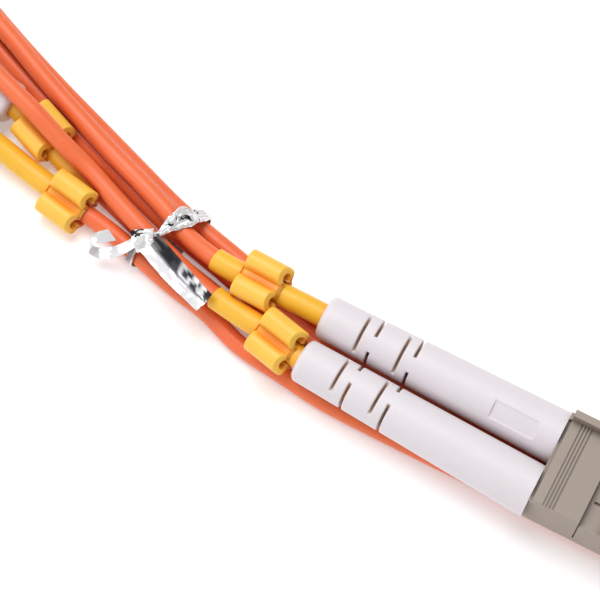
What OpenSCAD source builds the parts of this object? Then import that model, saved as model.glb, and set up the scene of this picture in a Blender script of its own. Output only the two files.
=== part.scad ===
// Duplex multimode fibre patch cord, coiled and tied, with a duplex plug on each end.
// All sizes are in millimetres. The frame's origin is the centre of end B's clip, on its flat
// underside; +Z is up and the cord lies on the plane z = 0.

/* [Duplex clip] */
// Distance between the two plugs' axes
channel_pitch = 6.25; // [6.05:0.05:7.6]
// Width of the clip
clip_w = 10.2; // [10:0.1:12.5]
// Height of the clip's back plate
clip_h = 5.6; // [5.4:0.1:6.8]
// Length of the clip along the plugs
clip_len = 9.0; // [7.5:0.1:11]
// Length of the full-height back plate
plate_len = 5.4; // [4.4:0.1:5.6]
// Height of the front deck
deck_h = 4.8; // [4.65:0.05:5.2]
// Height of the plugs' axes over the clip's underside
axis_h = 2.85; // [2.82:0.01:3.1]
// Thickness of the side rail and of the ears
rail_t = 0.75; // [0.6:0.05:0.8]
// Height of the side rail over the back plate
rail_rise = 1.2; // [0.9:0.1:1.6]
// Width of the fine grooves in the back plate
groove_w = 0.18; // [0.12:0.02:0.22]
// Depth of the fine grooves
groove_deep = 0.12; // [0.08:0.02:0.2]

/* [Plug] */
// Width and height of the square nose
nose_w = 4.52; // [4.4:0.02:5.0]
// Length of the nose housing
nose_len = 9.3; // [8.8:0.1:10]
// Diameter of the ferrule's front end
ferrule_d = 1.249; // [1.2:0.001:1.3]
// How far the ferrule stands out of the nose
ferrule_out = 2.0; // [1.8:0.1:2.4]
// Travel of the ferrule against its spring
float_travel = 1.0; // [0.6:0.1:1]
// Diameter of the rear body's neck, which the clip holds
neck_d = 3.0; // [2.9:0.02:3.2]
// Diameter of the crimp stem
stem_d = 2.8; // [2.7:0.02:2.84]
// Length of the crimp stem behind the clip
stem_len = 4.0; // [3.4:0.1:4.2]
// Diameter of the buffered fibre
buffer_d = 0.9; // [0.8:0.05:0.95]
// Diameter of the glass fibre
glass_d = 0.125; // [0.12:0.005:0.13]
// Wire diameter of the ferrule's spring
wire_d = 0.2; // [0.16:0.02:0.24]
// Number of turns of the ferrule's spring
spring_turns = 5; // [4:1:7]
// Width of the latch arm
latch_w = 2.4; // [2:0.1:2.6]
// Thickness of the latch arm
latch_t = 0.6; // [0.5:0.02:0.62]

/* [Trigger] */
// Width of the trigger's plate
trigger_w = 8.4; // [7.6:0.1:8.4]
// Length of the trigger from its pivot to its tip
trigger_reach = 6.4; // [5.6:0.1:6.6]
// Slope of the trigger's plate at rest
trigger_rise = 24; // [22:0.5:26]
// Thickness of the trigger's plate
trigger_t = 0.9; // [0.7:0.05:0.95]

/* [Boot] */
// Length of the boot
boot_len = 26.9; // [22:0.1:33]
// Diameter of the boot where it meets the clip
boot_base_d = 5.65; // [5.2:0.05:5.65]
// Diameter of the boot's tip
boot_tip_d = 4.6; // [3.9:0.05:4.6]
// Width of the flex slots
slot_w = 0.35; // [0.25:0.01:0.45]
// Distance from the axis to the bottom of the wide flex slots
slot_wide_floor = 1.2; // [1.1:0.05:1.6]
// Distance from the axis to the bottom of the paired flex slots
slot_pair_floor = 0.85; // [0.8:0.05:1.4]
// Length of the shallow recess in the boot
recess_len = 4.8; // [3.5:0.1:5.5]
// Width of the shallow recess
recess_w = 1.8; // [1.2:0.1:2.4]
// Depth of the shallow recess
recess_deep = 0.15; // [0.08:0.01:0.25]

/* [Legs, sleeves and leg clips] */
// Diameter of a leg's jacket
leg_d = 2.0; // [1.65:0.05:2.1]
// Wall of the identification sleeve
sleeve_wall = 0.19; // [0.15:0.01:0.24]
// Length of a leg clip
leg_clip_len = 4.8; // [4:0.1:5.4]
// Diameter of a leg clip's lobes
lobe_d = 2.6; // [2.2:0.1:2.8]
// Diameter of the hollow in a lobe
lobe_hollow_d = 1.5; // [1.1:0.1:1.7]
// Wall of a leg clip around its socket
socket_wall = 0.5; // [0.4:0.05:0.65]

/* [Zip cord and tie] */
// Distance between the two jackets of the zip cord
zip_pitch = 2.1; // [2.05:0.05:2.2]
// Distance between the cord's two loops
loop_step = 5.0; // [4.8:0.1:6]
// Width of the foil tie
tie_w = 4.0; // [3:0.1:4.4]
// Thickness of the foil tie
tie_t = 0.12; // [0.08:0.01:0.14]

/* [Hidden] */

// Round walls of the exact pieces, and of the short hulls.
$fn = 48;
hull_fn = 32;

// Clearances between pieces that pass through or seat in one another.
running = 0.05;
snug = 0.02;
socket_play = 0.16;
slip = 0.2;

// Names of the channels, the end that each belongs to and the side that it lies on.
CHANNELS = ["a1", "a2", "b1", "b2"];
function is_a(c) = c < 2;
function side_of(c) = c % 2 == 0 ? 1 : -1;

// Where each end's clip stands, and how far it is turned.
END_PLACE = [[83, -62, 2.1], [0, 0, 0]];
END_TURN = [-30, 142];
function end_of(c) = is_a(c) ? 0 : 1;

// Stations along a plug's axis, counted from the clip's centre towards the ferrule.
clip_back = -clip_len / 2;
clip_front = clip_len / 2;
plate_front = clip_back + plate_len;
stem_back = clip_back - stem_len;
seat_x = clip_front + 0.4;
cup_back = clip_front + 0.1;
cup_len = 1.6;
nose_back = clip_front + slip;
nose_front = nose_back + nose_len;
ferrule_tip = nose_front + ferrule_out;
ferrule_back = seat_x + 3.3;
flange_back = seat_x + 0.7 + float_travel;
collar_back = ferrule_back;
collar_front = collar_back + 0.9;
shoulder_x = collar_front + running * 2;
mouth_back = nose_front - 3.6;
boot_back = clip_back - boot_len;

// Radii of the plug's inner pieces.
cup_r = 1.7;
cup_bore_r = 1.42;
cavity_r = cup_r + running;
collar_r = 1.36;
flange_tube_r = 0.85;
flange_bore_r = buffer_d / 2 + running;
ferrule_r = ferrule_d / 2;
ferrule_tail_r = ferrule_r - 0.18;
spring_r = 1.15;
nose_bore_r = 1.22;
nose_mouth_r = 1.45;
crimp_r = stem_d / 2 + snug;
crimp_wall = 0.28;
crimp_len = 5.0;

// The boot's own axis crosses the plug's at bend_x, a little askew.
bend_x = clip_back - 2.5;
BOOT_TILT = [1.1, 3.3, -1.9, 1.9];
sleeve_bore_r = leg_d / 2 + running;
sleeve_r = sleeve_bore_r + sleeve_wall;
boot_bore_r = sleeve_r + 0.06;
boot_cavity_r = crimp_r + crimp_wall + running;
function boot_r(x) = boot_base_d / 2 - (boot_base_d - boot_tip_d) / 2 * (clip_back - x) / boot_len;
// Flex slots: distance from the boot's tip, and how far each boot's slots are turned.
SLOT_WIDE = [4.5, 9.05];
SLOT_PAIR = [5.95, 10.4];
WIDE_ROLL = [-17, 3, -17, 3];
PAIR_ROLL = [-31, 10, -31, 10];
recess_from_tip = 22.1;
RECESS_ROLL = [-32, 180, -32, 180];

// Latch and trigger: pivots, seen from the side.
latch_pivot_x = nose_front - 0.95;
nose_top = axis_h + nose_w / 2;
latch_barrel_r = 0.35;
latch_pivot_z = nose_top + latch_barrel_r + snug;
latch_tail_x = latch_pivot_x - 5.05;
latch_tail_z = latch_pivot_z + 1.62;
lug_w = 0.55;
lug_len = 1.2;
pad_len = 0.55;
pad_rise = 0.7;
trigger_pivot_x = clip_front - 0.6;
trigger_pivot_z = deck_h + 1.1;
trigger_barrel_r = 0.5;
pin_r = 0.3;
pin_len = 0.45;
ear_len = 1.3;
ear_rise = 1.7;

// Curves of the leg clip's outline.
lobe_y = 1.25;
lobe_z = 1.2;
socket_r = sleeve_r + socket_play;
mouth_half = 0.85;
mouth_z = -1.15;

// Sections of the cords: an eight-sided leg and a flat six-sided zip cord.
leg_sides = 8;
LEG_SECTION = [for (i = [0 : leg_sides - 1]) leg_d / 2 * heading(360 * (i + 0.5) / leg_sides)];
zip_flat = zip_pitch / 2 + leg_d * 0.1;
zip_half = (zip_pitch + leg_d) / 2;
ZIP_SECTION = [
    [zip_half, 0], [zip_flat, leg_d / 2], [-zip_flat, leg_d / 2],
    [-zip_half, 0], [-zip_flat, -leg_d / 2], [zip_flat, -leg_d / 2]
];
sleeve_sides = 16;
function sleeve_section(r) = [for (i = [0 : sleeve_sides - 1]) r * heading(360 * i / sleeve_sides)];

// The legs' routes past the boots, to the forks.
LEG_ROUTE = [
    [
        [51.9, -39.8, 4.9], [46.8, -36.4, 4.4], [44.0, -33.4, 3.6], [41.7, -30.0, 3.3],
        [39.2, -26.8, 3.15], [36.2, -23.2, 3.05], [32.8, -18.9, 3.05], [29.5, -14.6, 3.05],
        [26.4, -10.2, 3.05], [23.8, -6.6, 3.05], [21.3, -1.5, 3.05], [20.6, 2.0, 2.7],
        [20.4, 5.5, 1.6], [20.4, 9.5, 1.05]
    ],
    [
        [53.0, -45.8, 4.8], [48.4, -42.0, 4.2], [46.6, -40.4, 3.87], [42.9, -36.4, 3.4],
        [40.1, -33.2, 3.35], [36.9, -29.2, 3.3], [34.1, -25.7, 3.6], [31.1, -22.8, 4.9],
        [28.3, -19.8, 6.1], [24.8, -16.0, 6.6], [20.8, -11.0, 6.5], [18.0, -5.5, 5.7],
        [16.8, 0.0, 4.6], [16.5, 5.0, 3.55], [17.3, 9.0, 2.2], [18.0, 12.1, 1.3]
    ],
    [
        [27.3, -24.5, 2.1], [30.8, -27.5, 1.95], [33.1, -29.4, 1.8], [36.9, -32.5, 1.35],
        [39.6, -35.2, 1.2], [42.6, -38.1, 1.1], [45.5, -40.6, 1.0], [49.1, -44.7, 1.0],
        [53.1, -47.8, 1.0], [57.4, -51.0, 1.0], [62.4, -54.0, 1.0], [72.7, -59.9, 1.0],
        [80.3, -64.5, 1.0]
    ],
    [
        [29.0, -20.5, 2.1], [31.1, -23.2, 1.55], [34.7, -26.6, 1.2], [36.5, -28.6, 1.2],
        [38.3, -30.6, 1.2], [40.7, -33.4, 1.2], [43.7, -36.2, 1.1], [46.5, -38.7, 1.0],
        [50.4, -42.3, 1.0], [54.3, -45.6, 1.0], [58.6, -48.6, 1.0], [63.4, -51.8, 1.0],
        [73.8, -57.9, 1.0], [81.4, -62.6, 1.0]
    ]
];
// How many of the leg's rings the sleeve covers, past the one where it starts in the boot.
SLEEVE_FIRST = 2;
SLEEVE_LAST = [5, 6, 6, 6];
sleeve_start = clip_back - 15.5;
// Where each leg clip sits: the leg's ring, the distance past it and the turn about the leg.
CLIP_RING = [4, 4, 5, 4];
CLIP_PAST = [0.4, 0, 1.3, 0];
CLIP_ROLL = [-10, -30, 28, 0];

// The zip cord's route: hand-set points at the forks and in the tie, and two loops of tangent
// arcs between them.
zip_z = leg_d / 2;
ZIP_START = [[19.4, 16.0], [19.3, 22.0], [19.1, 29.3], [20.0, 34.0]];
ZIP_INNER_END = [
    [108.8, -58.3], [103.6, -62.6], [100.5, -64.4], [97.0, -65.0], [93.5, -64.6], [90.2, -63.3]
];
ZIP_ALONG = [
    [84.1, -60.1, 1.0], [75.5, -55.1, 1.0], [65.1, -49.0, 1.0], [57.7, -43.8, 1.0],
    [52.1, -39.3, 1.0], [48.3, -35.6, 1.1], [42.5, -30.0, 1.2], [38.4, -25.2, 1.15],
    [35.7, -21.9, 1.0], [29.5, -14.5, 1.0], [24.9, -8.6, 1.0], [19.5, -1.0, 1.0],
    [14.0, 8.0, 1.0]
];
ZIP_OUTER_END = [
    [112.0, -62.1], [106.8, -66.5], [102.3, -69.0], [97.4, -70.1], [92.5, -69.5], [88.0, -67.4]
];
ARC_CENTRE = [39, 21];
ARC_R = [28.5, 93.5, 53, 96];
ARC_ANGLE = [175, 120, 61, -14, -45];
ARC_STEPS = [4, 5, 5, 3];
INNER_FROM = 3;

// The tie: where it crosses the bundle, its direction, and the strands that it goes round.
TIE_PLACE = [42.0, -32.5];
tie_heading = -47;
TIE_STRANDS = [[-3.75, 1.2], [3.5, 1.2], [1.7, 3.5], [-2.1, 3.45]];
tie_slack = 0.06;

// ---- Vectors, routes and sweeps ----

function heading(a) = [cos(a), sin(a)];
function unit(v) = v / norm(v);
function last(list) = list[len(list) - 1];
function lift(points, z) = [for (p = points) [p[0], p[1], z]];

// A point of an end's own frame, in the part's frame.
function placed(e, p) =
    let (c = cos(END_TURN[e]), s = sin(END_TURN[e]))
    END_PLACE[e] + [c * p[0] - s * p[1], s * p[0] + c * p[1], p[2]];

// A point on a plug's axis, and one on its boot's axis.
function on_plug(c, x) = placed(end_of(c), [x, side_of(c) * channel_pitch / 2, axis_h]);
function on_boot(c, x) =
    placed(end_of(c), [x, side_of(c) * channel_pitch / 2 + tan(BOOT_TILT[c]) * (bend_x - x), axis_h]);

// Centre and points of the tangent arcs, each drawn in by inset.
function arc_centre(j) = j == 0
    ? ARC_CENTRE
    : arc_centre(j - 1) + (ARC_R[j - 1] - ARC_R[j]) * heading(ARC_ANGLE[j]);
function arc_point(j, i, inset) =
    arc_centre(j)
    + (ARC_R[j] - inset) * heading(ARC_ANGLE[j] + (ARC_ANGLE[j + 1] - ARC_ANGLE[j]) * i / ARC_STEPS[j]);
function loop_points(inset, from) =
    let (all = [for (j = [0 : 3]) for (i = [0 : ARC_STEPS[j] - (j == 3 ? 0 : 1)]) arc_point(j, i, inset)])
    [for (k = [from : len(all) - 1]) all[k]];
ZIP_POINTS = concat(
    lift(ZIP_START, zip_z), lift(loop_points(loop_step, INNER_FROM), zip_z),
    lift(ZIP_INNER_END, zip_z), ZIP_ALONG, lift(loop_points(0, 0), zip_z),
    lift(ZIP_OUTER_END, zip_z)
);

// The direction of a route at one of its points, which leans to the shorter side.
function direction(p, i) =
    i == 0 ? unit(p[1] - p[0]) :
    i == len(p) - 1 ? unit(p[i] - p[i - 1]) :
    let (before = p[i] - p[i - 1], after = p[i + 1] - p[i])
    unit(unit(before) * norm(after) + unit(after) * norm(before));
function sideways(d) = unit(cross([0, 0, 1], d));

// A leg's whole route: straight out of the stem, along the boot, and straight into its fork.
function fork_dir(c) = is_a(c) ? -direction(ZIP_POINTS, 0) : direction(ZIP_POINTS, len(ZIP_POINTS) - 1);
function fork_side(c) = side_of(c) * (is_a(c) ? -1 : 1);
function fork(c) =
    (is_a(c) ? ZIP_POINTS[0] : last(ZIP_POINTS))
    + sideways(fork_dir(c) * (is_a(c) ? -1 : 1)) * fork_side(c) * zip_pitch / 2;
function leg_points(c) = concat(
    [on_plug(c, stem_back), on_plug(c, stem_back - leg_d), on_boot(c, sleeve_start), on_boot(c, boot_back)],
    LEG_ROUTE[c],
    [fork(c) + fork_dir(c) * leg_d, fork(c)]
);

// One ring of a sweep, and the triangles between two neighbouring rings.
function ring(p, d, section) =
    let (s = sideways(d), u = cross(d, s))
    [for (q = section) p + q[0] * s + q[1] * u];
function rings(points, section, from, to) =
    [for (i = [from : to]) each ring(points[i], direction(points, i), section)];
function walls(n, sides, first = 0, flip = false) = [
    for (i = [0 : n - 2]) for (k = [0 : sides - 1])
        let (a = first + i * sides + k, b = first + i * sides + (k + 1) % sides)
        each flip
            ? [[a, a + sides, b], [b, a + sides, b + sides]]
            : [[a, b, a + sides], [b, b + sides, a + sides]]
];

// A closed tube along a route.
module sweep(points, section) {
    n = len(points);
    m = len(section);
    back = [for (k = [1 : m - 2]) [0, k + 1, k]];
    front = [for (k = [1 : m - 2]) [(n - 1) * m, (n - 1) * m + k, (n - 1) * m + k + 1]];
    polyhedron(rings(points, section, 0, n - 1), concat(walls(n, m), back, front));
}

// A hollow tube along part of a route.
module hollow_sweep(points, from, to, outer, inner) {
    n = to - from + 1;
    m = len(outer);
    h = n * m;
    back = [
        for (k = [0 : m - 1]) let (j = (k + 1) % m)
            each [[k, h + k, j], [j, h + k, h + j]]
    ];
    front = [
        for (k = [0 : m - 1]) let (j = (k + 1) % m, e = (n - 1) * m)
            each [[e + k, e + j, h + e + k], [e + j, h + e + j, h + e + k]]
    ];
    polyhedron(
        concat(rings(points, outer, from, to), rings(points, inner, from, to)),
        concat(walls(n, m), walls(n, m, h, true), back, front)
    );
}

// Puts its children in an end's frame, or in a channel's frame on that end.
module at_end(e) {
    translate(END_PLACE[e]) rotate([0, 0, END_TURN[e]]) children();
}
module at_channel(c) {
    at_end(end_of(c)) translate([0, side_of(c) * channel_pitch / 2, axis_h]) children();
}
// A cylinder or a cone along X, from one station to the next.
module along(x0, x1, r0, r1 = -1) {
    translate([x0, 0, 0]) rotate([0, 90, 0]) cylinder(h = x1 - x0, r1 = r0, r2 = r1 < 0 ? r0 : r1);
}
// A block between two corners.
module block(lo, hi) {
    translate(lo) cube(hi - lo);
}
// An outline in X and Z, drawn out to both sides of y = 0.
module side_plate(points, w) {
    translate([0, w / 2, 0]) rotate([90, 0, 0]) linear_extrude(w) polygon(points);
}

// ---- The plug ----

// Square nose with its hollow, the ferrule's mouth and the pad that the latch hinges on.
module front_housing(c) {
    half = nose_w / 2;
    edge = 0.45;
    color([0.80, 0.76, 0.70]) at_channel(c) difference() {
        union() {
            intersection() {
                block([nose_back, -half, -half], [nose_front, half, half]);
                side_plate([
                    [nose_back, -half], [nose_front - edge, -half], [nose_front, -half + edge / 2],
                    [nose_front, half], [nose_back, half]
                ], nose_w);
            }
            block([nose_front - pad_len, -latch_w / 2, half], [nose_front, latch_w / 2, half + pad_rise]);
        }
        along(nose_back - 1, shoulder_x, cavity_r);
        along(shoulder_x - 0.1, mouth_back + 0.1, nose_bore_r);
        along(mouth_back, nose_front + 1, nose_mouth_r);
    }
}

// Sprung latch arm: hinge barrel in front, arm rising to the back, a lug on each side.
module latch(c) {
    top = latch_tail_z - axis_h;
    pivot = latch_pivot_z - axis_h;
    lug_x = latch_pivot_x - 2.9;
    lug_z = pivot + 0.87;
    color([0.80, 0.76, 0.70]) at_channel(c) union() {
        translate([latch_pivot_x, -latch_w / 2, pivot]) rotate([-90, 0, 0])
            cylinder(h = latch_w, r = latch_barrel_r);
        side_plate([
            [latch_pivot_x, pivot - latch_barrel_r + snug], [latch_pivot_x, pivot + latch_barrel_r - snug],
            [latch_tail_x + latch_t / 3, top], [latch_tail_x, top - latch_t / 3],
            [latch_tail_x + latch_t / 4, top - latch_t]
        ], latch_w);
        for (s = [-1, 1])
            translate([lug_x, s * (latch_w + lug_w) / 2, lug_z])
                cube([lug_len, lug_w + snug, latch_t], center = true);
    }
}

// Ceramic ferrule, with the fibre's bore, a chamfered tip and a tapered tail in the flange.
module ferrule(c) {
    chamfer = 0.2;
    color([0.95, 0.95, 0.93]) at_channel(c) difference() {
        union() {
            along(ferrule_back, collar_front, ferrule_tail_r, ferrule_r);
            along(collar_front, ferrule_tip - chamfer, ferrule_r);
            along(ferrule_tip - chamfer, ferrule_tip, ferrule_r, ferrule_r - chamfer);
        }
        along(ferrule_back - 1, ferrule_tip + 1, glass_d / 2 + 0.01);
    }
}

// Metal flange pressed on the ferrule's back end.
module ferrule_flange(c) {
    color([0.75, 0.76, 0.78]) at_channel(c) difference() {
        union() {
            along(flange_back, collar_back, flange_tube_r);
            along(collar_back, collar_front, collar_r);
        }
        along(flange_back - 1, collar_back, flange_bore_r);
        along(collar_back, collar_front + 1, ferrule_r + snug / 2);
    }
}

// Compression spring between the rear body's seat and the flange's collar.
module spring(c) {
    sides = 6;
    per_turn = 8;
    n = spring_turns * per_turn;
    x0 = seat_x + wire_d / 2;
    x1 = collar_back - wire_d / 2;
    wire = [for (i = [0 : sides - 1]) wire_d / 2 * heading(60 * i)];
    points = [
        for (i = [0 : n], k = [0 : sides - 1])
            let (a = 360 * i / per_turn, q = wire[k], r = spring_r + q[1])
            [x0 + (x1 - x0) * i / n + q[0], r * cos(a), r * sin(a)]
    ];
    back = [for (k = [1 : sides - 2]) [0, k, k + 1]];
    front = [for (k = [1 : sides - 2]) [n * sides, n * sides + k + 1, n * sides + k]];
    color([0.7, 0.72, 0.75]) at_channel(c)
        polyhedron(points, concat(walls(n + 1, sides, 0, true), back, front));
}

// Rear body: crimp stem, neck through the clip and the cup that the spring sits in.
module rear_body(c) {
    color([0.80, 0.76, 0.70]) at_channel(c) difference() {
        union() {
            along(stem_back, clip_back, stem_d / 2);
            along(clip_back, cup_back, neck_d / 2);
            along(cup_back, cup_back + cup_len, cup_r);
        }
        along(stem_back - 1, seat_x, flange_bore_r);
        along(seat_x, cup_back + cup_len + 1, cup_bore_r);
    }
}

// Metal ring crimped over the stem.
module crimp_ring(c) {
    color([0.78, 0.79, 0.8]) at_channel(c) difference() {
        along(clip_back - 0.1 - crimp_len, clip_back - 0.1, crimp_r + crimp_wall);
        along(clip_back - 1 - crimp_len, clip_back + 1, crimp_r);
    }
}

// Fibre in its buffer; the glass runs on through the ferrule.
module fibre(c) {
    color([0.9, 0.6, 0.3]) at_channel(c) union() {
        along(clip_back + 0.5, ferrule_back, buffer_d / 2);
        along(ferrule_back, ferrule_tip - 0.01, glass_d / 2);
    }
}

// Strain relief boot: a taper set a little askew, with flex slots and a recess.
module boot(c) {
    behind = boot_len - (clip_back - bend_x);
    cavity_back = clip_back - crimp_len - 2;
    color([0.93, 0.91, 0.93]) at_channel(c) difference() {
        boot_axis(c) along(-behind, clip_back + 1 - bend_x, boot_tip_d / 2, boot_r(clip_back + 1));
        block([clip_back, -boot_base_d, -boot_base_d], [clip_back + 9, boot_base_d, boot_base_d]);
        along(cavity_back, clip_back + 1, boot_cavity_r);
        boot_axis(c) {
            along(-behind - 1, cavity_back + 0.5 - bend_x, boot_bore_r);
            for (s = SLOT_WIDE, turn = [0, 180])
                flex_slot(s - behind, WIDE_ROLL[c] + turn, slot_wide_floor);
            for (s = SLOT_PAIR, turn = [-90, 90])
                flex_slot(s - behind, PAIR_ROLL[c] + turn, slot_pair_floor);
            rotate([-RECESS_ROLL[c], 0, 0])
                translate([recess_from_tip - behind, 0, boot_r(boot_back + recess_from_tip) - recess_deep])
                    translate([-recess_len / 2, -recess_w / 2, 0]) cube([recess_len, recess_w, 1]);
        }
    }
}
// Turns its children along the boot's own axis; their x = 0 is where it crosses the plug's.
module boot_axis(c) {
    translate([bend_x, 0, 0]) rotate([0, 0, -BOOT_TILT[c]]) children();
}
// A cut across the boot, turned about its axis, that leaves the wall below the floor.
module flex_slot(x, roll, floor_r) {
    rotate([-roll, 0, 0]) translate([x - slot_w / 2, -boot_base_d, floor_r])
        cube([slot_w, boot_base_d * 2, boot_base_d]);
}

// ---- The legs ----

module leg(c) {
    color([0.95, 0.42, 0.27]) sweep(leg_points(c), LEG_SECTION);
}

// Identification sleeve: starts inside the boot and ends on the leg.
module id_sleeve(c) {
    color([0.98, 0.78, 0.3])
        hollow_sweep(leg_points(c), SLEEVE_FIRST, SLEEVE_LAST[c],
            sleeve_section(sleeve_r), sleeve_section(sleeve_bore_r));
}

// Outline of the leg clip: two lobes on top of a socket that is open below.
module leg_clip_outline() {
    difference() {
        union() {
            for (s = [-1, 1]) translate([s * lobe_y, lobe_z]) circle(d = lobe_d);
            circle(r = socket_r + socket_wall);
        }
        for (s = [-1, 1]) translate([s * lobe_y, lobe_z]) circle(d = lobe_hollow_d);
        circle(r = socket_r);
        translate([-mouth_half, -5]) square([mouth_half * 2, 5]);
        translate([-5, mouth_z - 5]) square([10, 5]);
    }
}

// Snap-on clip on the sleeve, turned about the leg.
module leg_clip(c) {
    points = leg_points(c);
    i = CLIP_RING[c];
    next = unit(points[i + 1] - points[i]);
    d = CLIP_PAST[c] > 0 ? next : direction(points, i);
    p = points[i] + next * CLIP_PAST[c];
    color([0.98, 0.78, 0.3])
        translate(p) rotate([0, -asin(d[2]), atan2(d[1], d[0])]) rotate([CLIP_ROLL[c], 0, 0])
            translate([-leg_clip_len / 2, 0, 0]) rotate([90, 0, 90])
                linear_extrude(leg_clip_len) leg_clip_outline();
}

// ---- The clip and its trigger ----

// Duplex clip: back plate, lower front deck, side rail and the trigger's ears.
module duplex_clip(e) {
    half = clip_w / 2;
    rail_in = half - rail_t;
    ear_x = clip_front - ear_len;
    color([0.80, 0.76, 0.70]) at_end(e) difference() {
        union() {
            block([clip_back, -half, 0], [plate_front, half, clip_h]);
            block([plate_front, -half, 0], [clip_front, half, deck_h]);
            block([clip_back + 0.3, rail_in, deck_h], [clip_front, half, clip_h + rail_rise]);
            block([ear_x, -half, deck_h], [clip_front, -rail_in, deck_h + ear_rise]);
        }
        for (s = [-1, 1]) translate([0, s * channel_pitch / 2, axis_h])
            along(clip_back - 1, clip_front + 1, neck_d / 2 + snug);
        for (k = [0 : 3]) translate([clip_back + 1.5 + 0.35 * k, 0, clip_h - groove_deep])
            translate([-groove_w / 2, -half - 1, 0]) cube([groove_w, half + 1 + rail_in, 1]);
        block([plate_front, -half - 1, 0.9], [plate_front + 0.15, -half + 0.25, clip_h]);
        block([clip_back - 1, -half - 1, clip_h - 0.5], [clip_back + 0.35, rail_in, clip_h + 1]);
        translate([trigger_pivot_x, 0, trigger_pivot_z]) rotate([90, 0, 0])
            cylinder(h = (rail_in + pin_len + snug) * 2, r = pin_r + running, center = true);
        block([plate_front + 0.5, -2.3, deck_h - 0.3], [plate_front + 1.5, -2.0, deck_h + 1]);
    }
}

// Thumb trigger: barrel and pins between the ears, a sloping plate and grip ribs.
module trigger(e) {
    half = clip_w / 2 - rail_t;
    slope = [cos(trigger_rise), sin(trigger_rise)];
    across = [-sin(trigger_rise), cos(trigger_rise)];
    under = -across * trigger_t / 2;
    tip = slope * trigger_reach;
    color([0.80, 0.76, 0.70]) at_end(e) translate([trigger_pivot_x, 0, trigger_pivot_z]) union() {
        rotate([90, 0, 0]) cylinder(h = trigger_w, r = trigger_barrel_r, center = true);
        rotate([90, 0, 0]) cylinder(h = (half + pin_len - running) * 2, r = pin_r, center = true);
        side_plate([
            under, tip + under, tip + slope * 0.25, tip - under, -under
        ], trigger_w);
        for (k = [0 : 3]) side_plate([
            slope * (trigger_reach - 0.5 - 0.8 * k) + across * (trigger_t / 2 - snug),
            slope * (trigger_reach - 0.7 - 0.8 * k) + across * (trigger_t / 2 + 0.25),
            slope * (trigger_reach - 0.9 - 0.8 * k) + across * (trigger_t / 2 - snug)
        ], trigger_w - 0.6);
    }
}

// ---- The zip cord and its tie ----

// Least distance between stretches of the route that are far apart along it, less the width.
function between(p, per) = [
    for (i = [0 : len(p) - 2]) for (k = [0 : per - 1]) p[i] + (p[i + 1] - p[i]) * k / per
];
function least_gap(p, skip) = min([
    for (i = [0 : len(p) - 1]) for (j = [i + skip : 1 : len(p) - 1]) norm(p[i] - p[j])
]) - zip_half * 2;

module duplex_cord() {
    echo("least gap of the zip cord to itself", least_gap(between(ZIP_POINTS, 4), 40));
    color([0.95, 0.42, 0.27]) sweep(ZIP_POINTS, ZIP_SECTION);
}

// Outline of the tie round the strands, grown by a distance.
module tie_outline(grow) {
    hull() for (q = TIE_STRANDS) translate(q) circle(r = leg_d / 2 + grow, $fn = hull_fn);
}

// Foil tie: a band round the bundle, and a flat tail twisted out of its lower edge.
module twist_tie() {
    color([0.85, 0.86, 0.88]) translate([TIE_PLACE[0], TIE_PLACE[1], 0]) rotate([0, 0, tie_heading])
        union() {
            translate([-tie_w / 2, 0, 0]) rotate([90, 0, 90]) linear_extrude(tie_w) difference() {
                tie_outline(tie_slack + tie_t);
                tie_outline(tie_slack);
            }
            translate([-1, -7.4, 0.4]) cube([2, 3, tie_t]);
        }
}

// ---- What is drawn ----

for (c = [0 : 3]) {
    front_housing(c);
    latch(c);
    ferrule(c);
    ferrule_flange(c);
    spring(c);
    rear_body(c);
    crimp_ring(c);
    boot(c);
    id_sleeve(c);
    leg_clip(c);
    fibre(c);
    leg(c);
}
duplex_clip(0);  // duplex_clip_a
duplex_clip(1);  // duplex_clip_b
trigger(0);  // trigger_a
trigger(1);  // trigger_b
duplex_cord();
twist_tie();
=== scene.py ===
"""Duplex fibre patch cord: cords, mouldings, foil tie and finishes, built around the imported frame.

Lengths are in millimetres in every class here. MM turns them into metres where a mesh, a light or
the camera is made.
"""

import logging
import math
from collections.abc import Callable, Sequence
from dataclasses import dataclass
from enum import Enum

import bmesh
import bpy
from mathutils import Matrix, Vector, noise

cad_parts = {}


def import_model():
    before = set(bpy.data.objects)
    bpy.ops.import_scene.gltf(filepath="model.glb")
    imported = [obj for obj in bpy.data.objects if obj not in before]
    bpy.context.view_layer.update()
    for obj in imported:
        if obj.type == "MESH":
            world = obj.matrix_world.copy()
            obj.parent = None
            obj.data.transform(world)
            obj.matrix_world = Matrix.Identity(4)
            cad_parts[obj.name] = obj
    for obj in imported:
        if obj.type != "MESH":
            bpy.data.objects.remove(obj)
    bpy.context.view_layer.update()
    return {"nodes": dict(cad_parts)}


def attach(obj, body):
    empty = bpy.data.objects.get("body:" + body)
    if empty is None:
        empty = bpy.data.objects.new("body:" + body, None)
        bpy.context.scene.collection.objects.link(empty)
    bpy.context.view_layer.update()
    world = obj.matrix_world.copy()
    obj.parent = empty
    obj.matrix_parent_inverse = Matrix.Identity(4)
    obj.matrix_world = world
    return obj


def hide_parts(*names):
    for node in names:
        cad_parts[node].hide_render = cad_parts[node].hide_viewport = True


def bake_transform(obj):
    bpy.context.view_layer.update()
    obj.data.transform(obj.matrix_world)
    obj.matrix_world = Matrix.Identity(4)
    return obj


LOG = logging.getLogger("patch_cord")
MM = 0.001
UP = Vector((0.0, 0.0, 1.0))
TUBE_EDGE_STEPS = 3
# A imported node's points this close are welded, and its edges sharper than this are rounded.
WELD_REACH = 0.002
ROUND_FROM = math.radians(40.0)
Colour = tuple[float, float, float]
Flat = tuple[float, float]


class Slot(Enum):
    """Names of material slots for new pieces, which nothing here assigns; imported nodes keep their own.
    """

    BOOT = "boot_plastic"
    YELLOW = "yellow_plastic"
    JACKET = "orange_jacket"
    SPRING = "spring_steel"
    FOIL = "foil"


# ---- Shapes ----


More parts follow.
